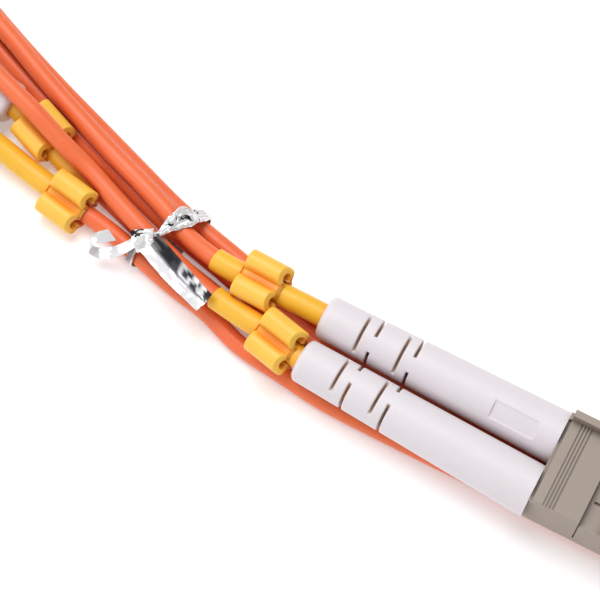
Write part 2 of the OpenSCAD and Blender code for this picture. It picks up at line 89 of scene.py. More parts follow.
@dataclass
class Shape:
    """Points and faces of a closed form, in millimetres, with one shade value for each point.

    The shade is how much of its finish's painted tone a point shows: 1 at the bottom of a moulded
    slot, where it is painted shade, or on a dark face of foil, where it is a painted dark reflection,
    and 0 on the open surface.
    """

    points: list[Vector]
    faces: list[tuple[int, ...]]
    shade: list[float] | None = None

    def moved(self, matrix: Matrix) -> "Shape":
        """The same form under a matrix."""
        return Shape([matrix @ p for p in self.points], self.faces, self.shade)


def loft(rings: Sequence[Sequence[Vector]], loop: bool = False) -> Shape:
    """Joins rings of equal length into one form.

    Args:
        rings: The rings, each an outline that closes on itself.
        loop: Whether the last ring joins the first. If not, the two ends are capped.

    Returns:
        The form, without shade.
    """
    sides, count = len(rings[0]), len(rings)
    faces = []
    for i in range(count if loop else count - 1):
        a, b = i * sides, (i + 1) % count * sides
        for k in range(sides):
            j = (k + 1) % sides
            faces.append((a + k, a + j, b + j, b + k))
    if not loop:
        end = (count - 1) * sides
        faces.append(tuple(range(sides - 1, -1, -1)))
        faces.append(tuple(range(end, end + sides)))
    return Shape([p.copy() for ring in rings for p in ring], faces)


def arc(centre: Flat, radius: float, start: float, end: float, steps: int) -> list[Flat]:
    """Points along an arc, its two ends included. Angles are in degrees."""
    turns = [math.radians(start + (end - start) * k / steps) for k in range(steps + 1)]
    return [(centre[0] + radius * math.cos(a), centre[1] + radius * math.sin(a)) for a in turns]


def rounding(edge: float, steps: int) -> list[Flat]:
    """Rings of a rounded edge, from the end inwards: how far each is drawn in, and its distance."""
    turns = [math.pi / 2 * k / steps for k in range(steps + 1)]
    return [(edge * (1 - math.sin(a)), edge * (1 - math.cos(a))) for a in turns]


def frame_at(place: Vector, along: Vector) -> Matrix:
    """A frame with X along a direction, Y level and to its left, and Z up from it."""
    x = along.normalized()
    y = UP.cross(x).normalized()
    z = x.cross(y)
    matrix = Matrix((x, y, z)).transposed().to_4x4()
    matrix.translation = place
    return matrix


def frames(line: Sequence[Vector]) -> list[Matrix]:
    """A frame at each point of a line of close points."""
    last = len(line) - 1
    return [
        frame_at(p, line[min(i + 1, last)] - line[max(i - 1, 0)]) for i, p in enumerate(line)
    ]


def sweep(line: Sequence[Vector], section: Sequence[Flat]) -> Shape:
    """A solid cord: a section, given as (sideways, up), drawn along a line."""
    return loft([[m @ Vector((0.0, q[0], q[1])) for q in section] for m in frames(line)])


def hollow_sweep(line: Sequence[Vector], outer: float, inner: float, edge: float, sides: int) -> Shape:
    """A round tube along a line, with rounded edges at its two ends.

    Args:
        line: The centreline, as close points.
        outer: Radius of the outside.
        inner: Radius of the bore.
        edge: Radius of the rounding at the ends.
        sides: Number of sides.

    Returns:
        The tube as one closed form.
    """
    places = frames(line)
    turns = [2 * math.pi * k / sides for k in range(sides)]

    def ring(at: Matrix, radius: float, shift: float = 0.0) -> list[Vector]:
        return [at @ Vector((shift, radius * math.cos(a), radius * math.sin(a))) for a in turns]

    ends = rounding(edge, TUBE_EDGE_STEPS)
    rings = [ring(places[0], outer - inset, x) for inset, x in ends]
    rings += [ring(m, outer) for m in places[1:-1]]
    rings += [ring(places[-1], outer - inset, -x) for inset, x in reversed(ends)]
    rings += [ring(m, inner) for m in (places[-1], *reversed(places[1:-1]), places[0])]
    return loft(rings, loop=True)


def make_piece(
    name: str,
    shape: Shape,
    body: str | None,
    replaces: Sequence[str] = (),
    sharp: float = 38.0,
) -> bpy.types.Object:
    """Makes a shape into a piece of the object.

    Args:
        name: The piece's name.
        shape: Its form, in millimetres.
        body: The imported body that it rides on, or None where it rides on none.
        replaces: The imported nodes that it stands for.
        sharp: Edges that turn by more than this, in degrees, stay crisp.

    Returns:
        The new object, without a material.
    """
    mesh = bpy.data.meshes.new(name)
    mesh.from_pydata([p * MM for p in shape.points], [], shape.faces)
    if shape.shade is not None:
        mesh.attributes.new("shade", "FLOAT", "POINT").data.foreach_set("value", shape.shade)
    bm = bmesh.new()
    bm.from_mesh(mesh)
    bmesh.ops.recalc_face_normals(bm, faces=bm.faces)
    for face in bm.faces:
        face.smooth = True
    for edge in bm.edges:
        edge.smooth = len(edge.link_faces) == 2 and edge.calc_face_angle(0.0) < math.radians(sharp)
    bm.to_mesh(mesh)
    bm.free()
    piece = bpy.data.objects.new(name, mesh)
    bpy.context.scene.collection.objects.link(piece)
    if body is not None:
        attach(piece, body)
    if replaces:
        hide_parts(*replaces)
    LOG.info("%s: %d points", name, len(shape.points))
    return piece


def dress(piece: bpy.types.Object, material: bpy.types.Material) -> None:
    """Gives an object one material in place of any that it has."""
    piece.data.materials.clear()
    piece.data.materials.append(material)


# ---- Routes ----


@dataclass(frozen=True)
class Route:
    """A smooth centreline through given points."""

    points: tuple[Vector, ...]

    def lean(self, i: int) -> Vector:
        """The line's direction at one of its points, which leans to the shorter side."""
        p = self.points
        if i == 0:
            return (p[1] - p[0]).normalized()
        if i == len(p) - 1:
            return (p[i] - p[i - 1]).normalized()
        before, after = p[i] - p[i - 1], p[i + 1] - p[i]
        total = before.length + after.length
        return (before.normalized() * after.length + after.normalized() * before.length) / total

    def between(self, first: int, last: int, step: float) -> list[Vector]:
        """Close points of the line from one of its own points to another.

        Args:
            first: Number of the point to start at.
            last: Number of the point to end at.
            step: Longest distance between two close points.

        Returns:
            The close points, both ends included.
        """
        line = [self.points[first].copy()]
        for i in range(first, last):
            chord = (self.points[i + 1] - self.points[i]).length
            line += self.stretch(i, max(2, math.ceil(chord / step)))
        return line

    def stretch(self, i: int, count: int) -> list[Vector]:
        """Points of the curve from just past one of its points to the next, in equal steps."""
        a, b = self.points[i], self.points[i + 1]
        chord = (b - a).length
        ta, tb = self.lean(i) * chord, self.lean(i + 1) * chord
        found = []
        for k in range(1, count + 1):
            t = k / count
            found.append(
                a * (2 * t**3 - 3 * t**2 + 1)
                + ta * (t**3 - 2 * t**2 + t)
                + b * (3 * t**2 - 2 * t**3)
                + tb * (t**3 - t**2)
            )
        return found

    def whole(self, step: float) -> list[Vector]:
        """Close points of the whole line."""
        return self.between(0, len(self.points) - 1, step)

    def even(self, per: int) -> list[Vector]:
        """The whole line, with the same number of steps from each of its points to the next."""
        line = [self.points[0].copy()]
        for i in range(len(self.points) - 1):
            line += self.stretch(i, per)
        return line


def length_of(line: Sequence[Vector]) -> float:
    """Length along a line of close points."""
    return sum((b - a).length for a, b in zip(line, line[1:]))


def lifted(points: Sequence[Flat], height: float) -> tuple[Vector, ...]:
    """Flat points set at one height."""
    return tuple(Vector((x, y, height)) for x, y in points)


# ---- Places ----


@dataclass(frozen=True)
class End:
    """One end of the cord: where its clip stands, and how far it is turned."""

    letter: str
    place: tuple[float, float, float]
    turn: float
    clip_back: float = -4.5
    axis_height: float = 2.85

    def matrix(self) -> Matrix:
        """From the end's own frame to the part's frame."""
        return Matrix.Translation(self.place) @ Matrix.Rotation(math.radians(self.turn), 4, "Z")


@dataclass(frozen=True)
class Channel:
    """One of the two channels of an end, and how its boot, leg, sleeve and leg clip lie."""

    end: End
    side: int
    tilt: float
    slot_roll: float
    pair_roll: float
    recess_roll: float
    sleeve_last: int
    clip_ring: int
    clip_past: float
    clip_roll: float
    leg_length: float
    route: tuple[tuple[float, float, float], ...]
    pitch: float = 6.25
    bend_x: float = -7.0
    boot_back: float = -31.4
    stem_back: float = -8.5
    sleeve_start: float = -20.0

    @property
    def name(self) -> str:
        """Name of the channel, such as a1."""
        return self.end.letter + ("1" if self.side > 0 else "2")

    def plug_frame(self) -> Matrix:
        """From the plug's own frame, with X out of the ferrule, to the part's frame."""
        shift = Vector((0.0, self.side * self.pitch / 2, self.end.axis_height))
        return self.end.matrix() @ Matrix.Translation(shift)

    def boot_frame(self) -> Matrix:
        """From the boot's own frame, with its origin where its axis crosses the plug's."""
        skew = Matrix.Rotation(math.radians(-self.tilt), 4, "Z")
        return self.plug_frame() @ Matrix.Translation((self.bend_x, 0.0, 0.0)) @ skew

    def on_plug(self, x: float) -> Vector:
        """A point on the plug's axis."""
        return self.plug_frame() @ Vector((x, 0.0, 0.0))

    def on_boot(self, x: float) -> Vector:
        """A point on the boot's axis, at a station of the plug's."""
        sideways = math.tan(math.radians(self.tilt)) * (self.bend_x - x)
        return self.plug_frame() @ Vector((x, sideways, 0.0))


END_A = End("a", (83.0, -62.0, 2.1), -30.0)
END_B = End("b", (0.0, 0.0, 0.0), 142.0)

CHANNELS = (
    Channel(
        END_A, 1, tilt=1.1, slot_roll=-17.0, pair_roll=-31.0, recess_roll=-32.0,
        sleeve_last=5, clip_ring=4, clip_past=0.4, clip_roll=-10.0, leg_length=97.0,
        route=(
            (51.9, -39.8, 4.9), (46.8, -36.4, 4.4), (44.0, -33.4, 3.6), (41.7, -30.0, 3.3),
            (39.2, -26.8, 3.15), (36.2, -23.2, 3.05), (32.8, -18.9, 3.05), (29.5, -14.6, 3.05),
            (26.4, -10.2, 3.05), (23.8, -6.6, 3.05), (21.3, -1.5, 3.05), (20.6, 2.0, 2.7),
            (20.4, 5.5, 1.6), (20.4, 9.5, 1.05),
        ),
    ),
    Channel(
        END_A, -1, tilt=3.3, slot_roll=3.0, pair_roll=10.0, recess_roll=180.0,
        sleeve_last=6, clip_ring=4, clip_past=0.0, clip_roll=-30.0, leg_length=102.5,
        route=(
            (53.0, -45.8, 4.8), (48.4, -42.0, 4.2), (46.6, -40.4, 3.87), (42.9, -36.4, 3.4),
            (40.1, -33.2, 3.35), (36.9, -29.2, 3.3), (34.1, -25.7, 3.6), (31.1, -22.8, 4.9),
            (28.3, -19.8, 6.1), (24.8, -16.0, 6.6), (20.8, -11.0, 6.5), (18.0, -5.5, 5.7),
            (16.8, 0.0, 4.6), (16.5, 5.0, 3.55), (17.3, 9.0, 2.2), (18.0, 12.1, 1.3),
        ),
    ),
    Channel(
        END_B, 1, tilt=-1.9, slot_roll=-17.0, pair_roll=-31.0, recess_roll=-32.0,
        sleeve_last=6, clip_ring=5, clip_past=1.3, clip_roll=28.0, leg_length=103.2,
        route=(
            (27.3, -24.5, 2.1), (30.8, -27.5, 1.95), (33.1, -29.4, 1.8), (36.9, -32.5, 1.35),
            (39.6, -35.2, 1.2), (42.6, -38.1, 1.1), (45.5, -40.6, 1.0), (49.1, -44.7, 1.0),
            (53.1, -47.8, 1.0), (57.4, -51.0, 1.0), (62.4, -54.0, 1.0), (72.7, -59.9, 1.0),
            (80.3, -64.5, 1.0),
        ),
    ),
    Channel(
        END_B, -1, tilt=1.9, slot_roll=3.0, pair_roll=10.0, recess_roll=180.0,
        sleeve_last=6, clip_ring=4, clip_past=0.0, clip_roll=0.0, leg_length=102.9,
        route=(
            (29.0, -20.5, 2.1), (31.1, -23.2, 1.55), (34.7, -26.6, 1.2), (36.5, -28.6, 1.2),
            (38.3, -30.6, 1.2), (40.7, -33.4, 1.2), (43.7, -36.2, 1.1), (46.5, -38.7, 1.0),
            (50.4, -42.3, 1.0), (54.3, -45.6, 1.0), (58.6, -48.6, 1.0), (63.4, -51.8, 1.0),
            (73.8, -57.9, 1.0), (81.4, -62.6, 1.0),
        ),
    ),
)


# ---- Shader groups ----

# In metres, as shader nodes take them: the grain's depth, and how near a wall gives painted crevice
# shade.
GRAIN_DEPTH = 0.00003
SHADE_REACH = 0.0012
# The stretch of the clouds' values that the drift uses, and how open a crevice is at the two ends of its
# painted shade's fade.
CLOUD_RANGE = (0.35, 0.65)
OPEN_RANGE = (0.25, 0.95)


def set_inputs(node: bpy.types.Node, values: dict[str, object]) -> None:
    """Sets inputs of a node by their names."""
    for label, value in values.items():
        node.inputs[label].default_value = value


class Graph:
    """A node tree with short ways to add and join its nodes."""

    def __init__(self, tree: bpy.types.NodeTree) -> None:
        """Works on a tree that exists."""
        self.tree = tree

    def add(self, kind: str, **settings: object) -> bpy.types.Node:
        """Adds a node and sets its properties, or its inputs where no property has the name.

        Args:
            kind: The node's type, without its ShaderNode prefix.
            **settings: Values by the name of a property or an input, in the order they are set.

        Returns:
            The new node.
        """
        node = self.tree.nodes.new("ShaderNode" + kind)
        for key, value in settings.items():
            if hasattr(node, key):
                setattr(node, key, value)
            else:
                node.inputs[key].default_value = value
        return node

    def join(self, source: bpy.types.NodeSocket, target: bpy.types.NodeSocket) -> None:
        """Links one socket to another."""
        self.tree.links.new(source, target)

    def clouds(self, **settings: float) -> bpy.types.Node:
        """Adds noise that stays where it is on the object."""
        node = self.add("TexNoise", **settings)
        self.join(self.add("TexCoord").outputs["Object"], node.inputs["Vector"])
        return node

    def spread(
        self,
        source: bpy.types.NodeSocket,
        low: float,
        high: float,
        to_low: float = 0.0,
        to_high: float = 1.0,
    ) -> bpy.types.Node:
        """Adds a node that takes a value from one range to another and stops at its ends.

        Args:
            source: The value.
            low: Start of its range.
            high: End of its range.
            to_low: What the start becomes.
            to_high: What the end becomes.

        Returns:
            The new node.
        """
        node = self.add("MapRange", clamp=True)
        ranges = {"From Min": low, "From Max": high, "To Min": to_low, "To Max": to_high}
        set_inputs(node, ranges)
        self.join(source, node.inputs["Value"])
        return node

    def mix(
        self,
        share: bpy.types.NodeSocket,
        first: bpy.types.NodeSocket,
        second: bpy.types.NodeSocket | Colour,
    ) -> bpy.types.NodeSocket:
        """Mixes a colour with a second one.

        Args:
            share: How much of the second colour shows.
            first: The first colour.
            second: The second colour, as a socket or as three numbers.

        Returns:
            The mixed colour.
        """
        node = self.add("MixRGB")
        self.join(share, node.inputs["Fac"])
        self.join(first, node.inputs["Color1"])
        if isinstance(second, tuple):
            node.inputs["Color2"].default_value = (*second, 1.0)
        else:
            self.join(second, node.inputs["Color2"])
        return node.outputs["Color"]


def shader_group(
    name: str,
    inputs: dict[str, float | Colour],
    outputs: dict[str, str],
    fill: Callable[[Graph, bpy.types.Node, bpy.types.Node], None],
) -> bpy.types.NodeTree:
    """A shader node group, built the first time that it is asked for.

    Args:
        name: The group's name.
        inputs: Its inputs and their starting values; a colour has three numbers.
        outputs: Its outputs, each with its socket type.
        fill: Draws the nodes between the group's input and output nodes.

    Returns:
        The group's tree.
    """
    if name in bpy.data.node_groups:
        return bpy.data.node_groups[name]
    tree = bpy.data.node_groups.new(name, "ShaderNodeTree")
    for label, value in inputs.items():
        is_colour = isinstance(value, tuple)
        kind = "NodeSocketColor" if is_colour else "NodeSocketFloat"
        socket = tree.interface.new_socket(name=label, in_out="INPUT", socket_type=kind)
        socket.default_value = (*value, 1.0) if is_colour else value
    for label, kind in outputs.items():
        tree.interface.new_socket(name=label, in_out="OUTPUT", socket_type=kind)
    fill(Graph(tree), tree.nodes.new("NodeGroupInput"), tree.nodes.new("NodeGroupOutput"))
    return tree


def tone_drift() -> bpy.types.NodeTree:
    """Group that drifts a colour towards a second one in soft clouds."""

    def fill(graph: Graph, given: bpy.types.Node, out: bpy.types.Node) -> None:
        cloud = graph.clouds(Detail=3.0, Roughness=0.55)
        graph.join(given.outputs["Scale"], cloud.inputs["Scale"])
        spread = graph.spread(cloud.outputs["Fac"], *CLOUD_RANGE)
        graph.join(given.outputs["Amount"], spread.inputs["To Max"])
        mixed = graph.mix(spread.outputs["Result"], given.outputs["Colour"], given.outputs["Second"])
        graph.join(mixed, out.inputs["Colour"])

    inputs = {"Colour": (0.8, 0.8, 0.8), "Second": (0.6, 0.6, 0.6), "Scale": 300.0, "Amount": 0.5}
    return shader_group("tone_drift", inputs, {"Colour": "NodeSocketColor"}, fill)


def moulded_grain() -> bpy.types.NodeTree:
    """Group that gives a fine moulded grain, as a bumped normal and a roughness."""

    def fill(graph: Graph, given: bpy.types.Node, out: bpy.types.Node) -> None:
        fine = graph.clouds(Detail=5.0, Roughness=0.6)
        graph.join(given.outputs["Scale"], fine.inputs["Scale"])
        bump = graph.add("Bump", Distance=GRAIN_DEPTH)
        graph.join(fine.outputs["Fac"], bump.inputs["Height"])
        graph.join(given.outputs["Bump"], bump.inputs["Strength"])
        graph.join(bump.outputs["Normal"], out.inputs["Normal"])
        spread = graph.spread(fine.outputs["Fac"], 0.0, 1.0)
        graph.join(given.outputs["Smooth"], spread.inputs["To Min"])
        graph.join(given.outputs["Rough"], spread.inputs["To Max"])
        graph.join(spread.outputs["Result"], out.inputs["Roughness"])

    inputs = {"Scale": 4000.0, "Bump": 0.3, "Smooth": 0.3, "Rough": 0.6}
    outputs = {"Normal": "NodeSocketVector", "Roughness": "NodeSocketFloat"}
    return shader_group("moulded_grain", inputs, outputs, fill)


def painted_crevice_shade() -> bpy.types.NodeTree:
    """Group that paints shade into a colour where the surface is close to another or lies deep."""

    def fill(graph: Graph, given: bpy.types.Node, out: bpy.types.Node) -> None:
        # Painted shade: ambient occlusion darkens the colour towards the shade colour in crevices and
        # tight gaps.
        near = graph.add("AmbientOcclusion", samples=8, Distance=SHADE_REACH)
        depth = graph.spread(near.outputs["AO"], *OPEN_RANGE, to_low=1.0, to_high=0.0)
        share = graph.add("Math", operation="MULTIPLY")
        graph.join(depth.outputs["Result"], share.inputs[0])
        graph.join(given.outputs["Amount"], share.inputs[1])
        mixed = graph.mix(share.outputs["Value"], given.outputs["Colour"], given.outputs["Tint"])
        graph.join(mixed, out.inputs["Colour"])

    inputs = {"Colour": (0.8, 0.8, 0.8), "Tint": (0.5, 0.4, 0.3), "Amount": 0.6}
    return shader_group("painted_crevice_shade", inputs, {"Colour": "NodeSocketColor"}, fill)


# ---- Finishes ----


@dataclass(frozen=True)
class Finish:
    """A surface finish: its colours, with a painted shade for its crevices, its gloss and its grain."""

    name: str
    colour: Colour
    second: Colour
    crevice_shade: Colour
    smooth: float
    rough: float
    grain: float = 4000.0
    bump: float = 0.25
    drift: float = 0.5
    drift_scale: float = 300.0
    crevice_shade_amount: float = 0.6
    metallic: float = 0.0
    coat: float = 0.0
    coat_roughness: float = 0.2
    subsurface: float = 0.0
    subsurface_reach: float = 0.0006
    subsurface_spread: Colour = (1.0, 0.7, 0.5)
    specular: float = 0.5

    def material(self) -> bpy.types.Material:
        """The finish as a material, made the first time that it is asked for."""
        if self.name in bpy.data.materials:
            return bpy.data.materials[self.name]
        material = bpy.data.materials.new(self.name)
        material.use_nodes = True
        graph = Graph(material.node_tree)
        shader = graph.tree.nodes["Principled BSDF"]
        uniform = {
            "Metallic": self.metallic,
            "Specular IOR Level": self.specular,
            "Coat Weight": self.coat,
            "Coat Roughness": self.coat_roughness,
            "Subsurface Weight": self.subsurface,
            "Subsurface Radius": self.subsurface_spread,
            "Subsurface Scale": self.subsurface_reach,
        }
        set_inputs(shader, uniform)
        grain = graph.add(
            "Group",
            node_tree=moulded_grain(),
            Scale=self.grain,
            Bump=self.bump,
            Smooth=self.smooth,
            Rough=self.rough,
        )
        graph.join(grain.outputs["Roughness"], shader.inputs["Roughness"])
        graph.join(grain.outputs["Normal"], shader.inputs["Normal"])
        graph.join(self.tone(graph), shader.inputs["Base Color"])
        return material

    def tone(self, graph: Graph) -> bpy.types.NodeSocket:
        """Draws the colour's nodes, with the painted crevice shade, and returns the socket that holds
        it.
        """
        drift = graph.add(
            "Group",
            node_tree=tone_drift(),
            Colour=(*self.colour, 1.0),
            Second=(*self.second, 1.0),
            Scale=self.drift_scale,
            Amount=self.drift,
        )
        # Painted shade: the crevice colour darkens the surface where walls stand close.
        crevice_shade = graph.add(
            "Group", node_tree=painted_crevice_shade(), Tint=(*self.crevice_shade, 1.0), Amount=self.crevice_shade_amount
        )
        graph.join(drift.outputs["Colour"], crevice_shade.inputs["Colour"])
        return crevice_shade.outputs["Colour"]


@dataclass(frozen=True)
class SlotShadeFinish(Finish):
    """A finish with painted shade where the shade says so: in slots, valleys and hollows."""

    # Colour of the painted shade; the boots' flex slots take this one.
    slot_shade_colour: Colour = (0.55, 0.38, 0.25)

    def tone(self, graph: Graph) -> bpy.types.NodeSocket:
        """Adds the slots' painted shade to the plain finish's own colour."""
        # Painted shade: the slot colour shows where the shade attribute is high.
        shade = graph.add("Attribute", attribute_name="shade")
        return graph.mix(shade.outputs["Fac"], super().tone(graph), self.slot_shade_colour)


@dataclass(frozen=True)
class FoilFinish(Finish):
    """A silver foil with painted dark reflections: small flecks, and dark faces where the shade says so.
    """

    reflection_colour: Colour = (0.015, 0.015, 0.018)
    reflection_scale: float = 700.0
    reflection_start: float = 0.615
    reflection_end: float = 0.64

    def tone(self, graph: Graph) -> bpy.types.NodeSocket:
        """Adds the painted reflections, flecks and dark faces, to the plain finish's own colour."""
        # Painted reflections: dark flecks from the noise, and dark faces from the shade attribute.
        cloud = graph.clouds(Detail=2.0, Roughness=0.5, Scale=self.reflection_scale, Distortion=1.2)
        reflected_specks = graph.spread(cloud.outputs["Fac"], self.reflection_start, self.reflection_end)
        dark = graph.add("Attribute", attribute_name="shade")
        most = graph.add("Math", operation="MAXIMUM")
        graph.join(reflected_specks.outputs["Result"], most.inputs[0])
        graph.join(dark.outputs["Fac"], most.inputs[1])
        return graph.mix(most.outputs["Value"], super().tone(graph), self.reflection_colour)


# The third colour of each finish is its painted crevice shade.
ORANGE_JACKET = Finish(
    "orange_jacket_pvc", (0.88, 0.17, 0.05), (0.82, 0.145, 0.036), (0.42, 0.02, 0.002),
    smooth=0.34, rough=0.5, grain=2600.0, bump=0.18, crevice_shade_amount=0.55, subsurface=0.12,
)
YELLOW_SLEEVE = Finish(
    "yellow_sleeve_tube", (0.94, 0.50, 0.03), (0.90, 0.44, 0.02), (0.80, 0.22, 0.004),
    smooth=0.34, rough=0.5, grain=2200.0, bump=0.2, subsurface=0.2,
)
YELLOW_MOULDING = SlotShadeFinish(
    "yellow_clip_moulding", (0.96, 0.56, 0.07), (0.93, 0.50, 0.05), (0.86, 0.22, 0.003),
    smooth=0.34, rough=0.52, grain=3000.0, bump=0.2, crevice_shade_amount=0.75, subsurface=0.2,
    # Painted orange shade in the valley between the lobes and inside the hollows.
    slot_shade_colour=(0.88, 0.23, 0.0),
)
# The boot's flex slots get the default slot colour as painted shade.
BOOT_PLASTIC = SlotShadeFinish(
    "white_boot_elastomer", (0.77, 0.72, 0.755), (0.74, 0.69, 0.725), (0.58, 0.45, 0.41),
    smooth=0.42, rough=0.58, grain=3500.0, bump=0.18, crevice_shade_amount=0.45, subsurface=0.3,
)
CONNECTOR_PLASTIC = Finish(
    "taupe_connector_moulding", (0.35, 0.285, 0.24), (0.325, 0.262, 0.22), (0.10, 0.072, 0.055),
    smooth=0.4, rough=0.6, grain=5200.0, bump=0.45, crevice_shade_amount=0.7,
)
CERAMIC = Finish(
    "polished_ceramic", (0.86, 0.86, 0.83), (0.82, 0.82, 0.78), (0.5, 0.5, 0.45),
    smooth=0.1, rough=0.2, bump=0.03, subsurface=0.1, coat=0.3, coat_roughness=0.08,
)
FLANGE_METAL = Finish(
    "turned_nickel", (0.62, 0.6, 0.56), (0.55, 0.53, 0.5), (0.2, 0.19, 0.18),
    smooth=0.2, rough=0.38, metallic=1.0, bump=0.1,
)
SPRING_STEEL = Finish(
    "drawn_spring_wire", (0.5, 0.5, 0.5), (0.42, 0.42, 0.43), (0.15, 0.15, 0.15),
    smooth=0.22, rough=0.4, metallic=1.0, bump=0.1,
)
CRIMP_METAL = Finish(
    "plated_crimp_ring", (0.66, 0.63, 0.58), (0.58, 0.55, 0.5), (0.22, 0.2, 0.18),
    smooth=0.24, rough=0.45, metallic=1.0, bump=0.15,
)
BUFFER_COAT = Finish(
    "buffer_coating", (0.82, 0.4, 0.12), (0.78, 0.35, 0.1), (0.4, 0.15, 0.04),
    smooth=0.3, rough=0.45, bump=0.08,
)
# The foil's dark flecks are painted dark reflections.
FOIL = FoilFinish(
    "silver_foil", (0.9, 0.9, 0.91), (0.8, 0.8, 0.82), (0.12, 0.12, 0.13),
    smooth=0.14, rough=0.28, metallic=0.5, grain=1500.0, bump=0.05, crevice_shade_amount=0.35,
)
SMOOTH_FOIL = FoilFinish(
    "smooth_silver_foil", (0.9, 0.9, 0.92), (0.84, 0.84, 0.86), (0.12, 0.12, 0.13),
    smooth=0.14, rough=0.28, metallic=0.4, grain=1500.0, bump=0.03, crevice_shade_amount=0.2,
    reflection_start=0.8, reflection_end=0.82,
)


# ---- Cords ----


@dataclass(frozen=True)
class ZipCord:
    """The flat zip cord: two jackets joined by a web, laid in two loops and through the tie."""

    jacket: float = 2.0
    pitch: float = 2.1
    web_half: float = 0.24
    jacket_steps: int = 22
    step: float = 0.8
    height: float = 1.0
    length: float = 661.0
    loop_step: float = 5.0
    skip: int = 3
    start: tuple[Flat, ...] = ((19.4, 16.0), (19.3, 22.0), (19.1, 29.3), (20.0, 34.0))
    inner_end: tuple[Flat, ...] = (
        (108.8, -58.3), (103.6, -62.6), (100.5, -64.4), (97.0, -65.0), (93.5, -64.6), (90.2, -63.3),
    )
    along: tuple[tuple[float, float, float], ...] = (
        (84.1, -60.1, 1.0), (75.5, -55.1, 1.0), (65.1, -49.0, 1.0), (57.7, -43.8, 1.0),
        (52.1, -39.3, 1.0), (48.3, -35.6, 1.1), (42.5, -30.0, 1.2), (38.4, -25.2, 1.15),
        (35.7, -21.9, 1.0), (29.5, -14.5, 1.0), (24.9, -8.6, 1.0), (19.5, -1.0, 1.0),
        (14.0, 8.0, 1.0),
    )
    outer_end: tuple[Flat, ...] = (
        (112.0, -62.1), (106.8, -66.5), (102.3, -69.0), (97.4, -70.1), (92.5, -69.5), (88.0, -67.4),
    )
    arc_centre: Flat = (39.0, 21.0)
    arc_radii: tuple[float, ...] = (28.5, 93.5, 53.0, 96.0)
    arc_angles: tuple[float, ...] = (175.0, 120.0, 61.0, -14.0, -45.0)
    arc_steps: tuple[int, ...] = (4, 5, 5, 3)

    def loop(self, inset: float) -> list[Flat]:
        """Points of one loop of tangent arcs, each drawn in by an inset."""
        centre = Vector(self.arc_centre)
        points: list[Flat] = []
        for j, radius in enumerate(self.arc_radii):
            if j > 0:
                turn = math.radians(self.arc_angles[j])
                shift = self.arc_radii[j - 1] - radius
                centre = centre + shift * Vector((math.cos(turn), math.sin(turn)))
            first, last = self.arc_angles[j], self.arc_angles[j + 1]
            run = arc(tuple(centre), radius - inset, first, last, self.arc_steps[j])
            points += run if j == len(self.arc_radii) - 1 else run[:-1]
        return points

    def route(self) -> Route:
        """The cord's whole centreline, from end A's fork to end B's."""
        z = self.height
        return Route(
            lifted(self.start, z)
            + lifted(self.loop(self.loop_step)[self.skip :], z)
            + lifted(self.inner_end, z)
            + tuple(Vector(p) for p in self.along)
            + lifted(self.loop(0.0), z)
            + lifted(self.outer_end, z)
        )

    def section(self) -> list[Flat]:
        """The two jackets' outline, with the web between them."""
        r, half = self.jacket / 2, self.pitch / 2
        meet = 180.0 - math.degrees(math.asin(self.web_half / r))
        right = arc((half, 0.0), r, -meet, meet, self.jacket_steps)
        left = [(-x, -y) for x, y in right]
        return right + left

    def build(self) -> Route:
        """Makes and dresses the cord.

        Returns:
            Its route, which the legs' forks are worked out from.
        """
        route = self.route()
        line = route.whole(self.step)
        cord = make_piece(
            "duplex_cord_jacket", sweep(line, self.section()), "base", ["duplex_cord"]
        )
        dress(cord, ORANGE_JACKET.material())
        LOG.info("zip cord: %.1f mm", length_of(line))
        return route


@dataclass(frozen=True)
class Leg:
    """One jacketed leg with its sleeve and its snap-on clip."""

    channel: Channel
    zip_route: Route
    zip_pitch: float
    diameter: float = 2.0
    play: float = 0.05
    sleeve_wall: float = 0.19
    sleeve_edge: float = 0.08
    sleeve_first: int = 2
    step: float = 0.6
    sleeve_step: float = 0.5
    sides: int = 32
    sleeve_sides: int = 48

    def route(self) -> Route:
        """The leg's centreline: out of the stem, along the boot and into its fork."""
        c = self.channel
        at_a = c.end is END_A
        last = len(self.zip_route.points) - 1
        zip_way = self.zip_route.lean(0 if at_a else last)
        way = -zip_way if at_a else zip_way
        # The zip cord runs away from fork a and into fork b, so its left is worked out from it.
        left = UP.cross(zip_way).normalized()
        side = c.side * (-1 if at_a else 1)
        fork = self.zip_route.points[0 if at_a else last] + left * side * self.zip_pitch / 2
        return Route(
            (
                c.on_plug(c.stem_back),
                c.on_plug(c.stem_back - self.diameter),
                c.on_boot(c.sleeve_start),
                c.on_boot(c.boot_back),
                *(Vector(p) for p in c.route),
                fork + way * self.diameter,
                fork,
            )
        )

    def build(self) -> None:
        """Makes and dresses the leg and its sleeve."""
        c = self.channel
        route = self.route()
        line = route.whole(self.step)
        last_turn = 360.0 * (self.sides - 1) / self.sides
        section = arc((0.0, 0.0), self.diameter / 2, 0.0, last_turn, self.sides - 1)
        leg = make_piece(
            f"leg_jacket_{c.name}", sweep(line, section), "base", [f"leg_{c.name}"]
        )
        dress(leg, ORANGE_JACKET.material())
        LOG.info("leg %s: %.1f mm", c.name, length_of(line))
        bore = self.diameter / 2 + self.play
        covered = route.between(self.sleeve_first, c.sleeve_last, self.sleeve_step)
        tube = hollow_sweep(covered, bore + self.sleeve_wall, bore, self.sleeve_edge, self.sleeve_sides)
        sleeve = make_piece(
            f"sleeve_{c.name}", tube, "base", [f"id_sleeve_{c.name}"]
        )
        dress(sleeve, YELLOW_SLEEVE.material())

    def clip_frame(self) -> Matrix:
        """Where the leg clip's middle sits, with X along the leg and Z through its lobes."""
        c = self.channel
        route = self.route()
        onward = (route.points[c.clip_ring + 1] - route.points[c.clip_ring]).normalized()
        along = onward if c.clip_past > 0 else route.lean(c.clip_ring)
        place = route.points[c.clip_ring] + onward * c.clip_past
        return frame_at(place, along) @ Matrix.Rotation(math.radians(c.clip_roll), 4, "X")


# ---- Mouldings ----


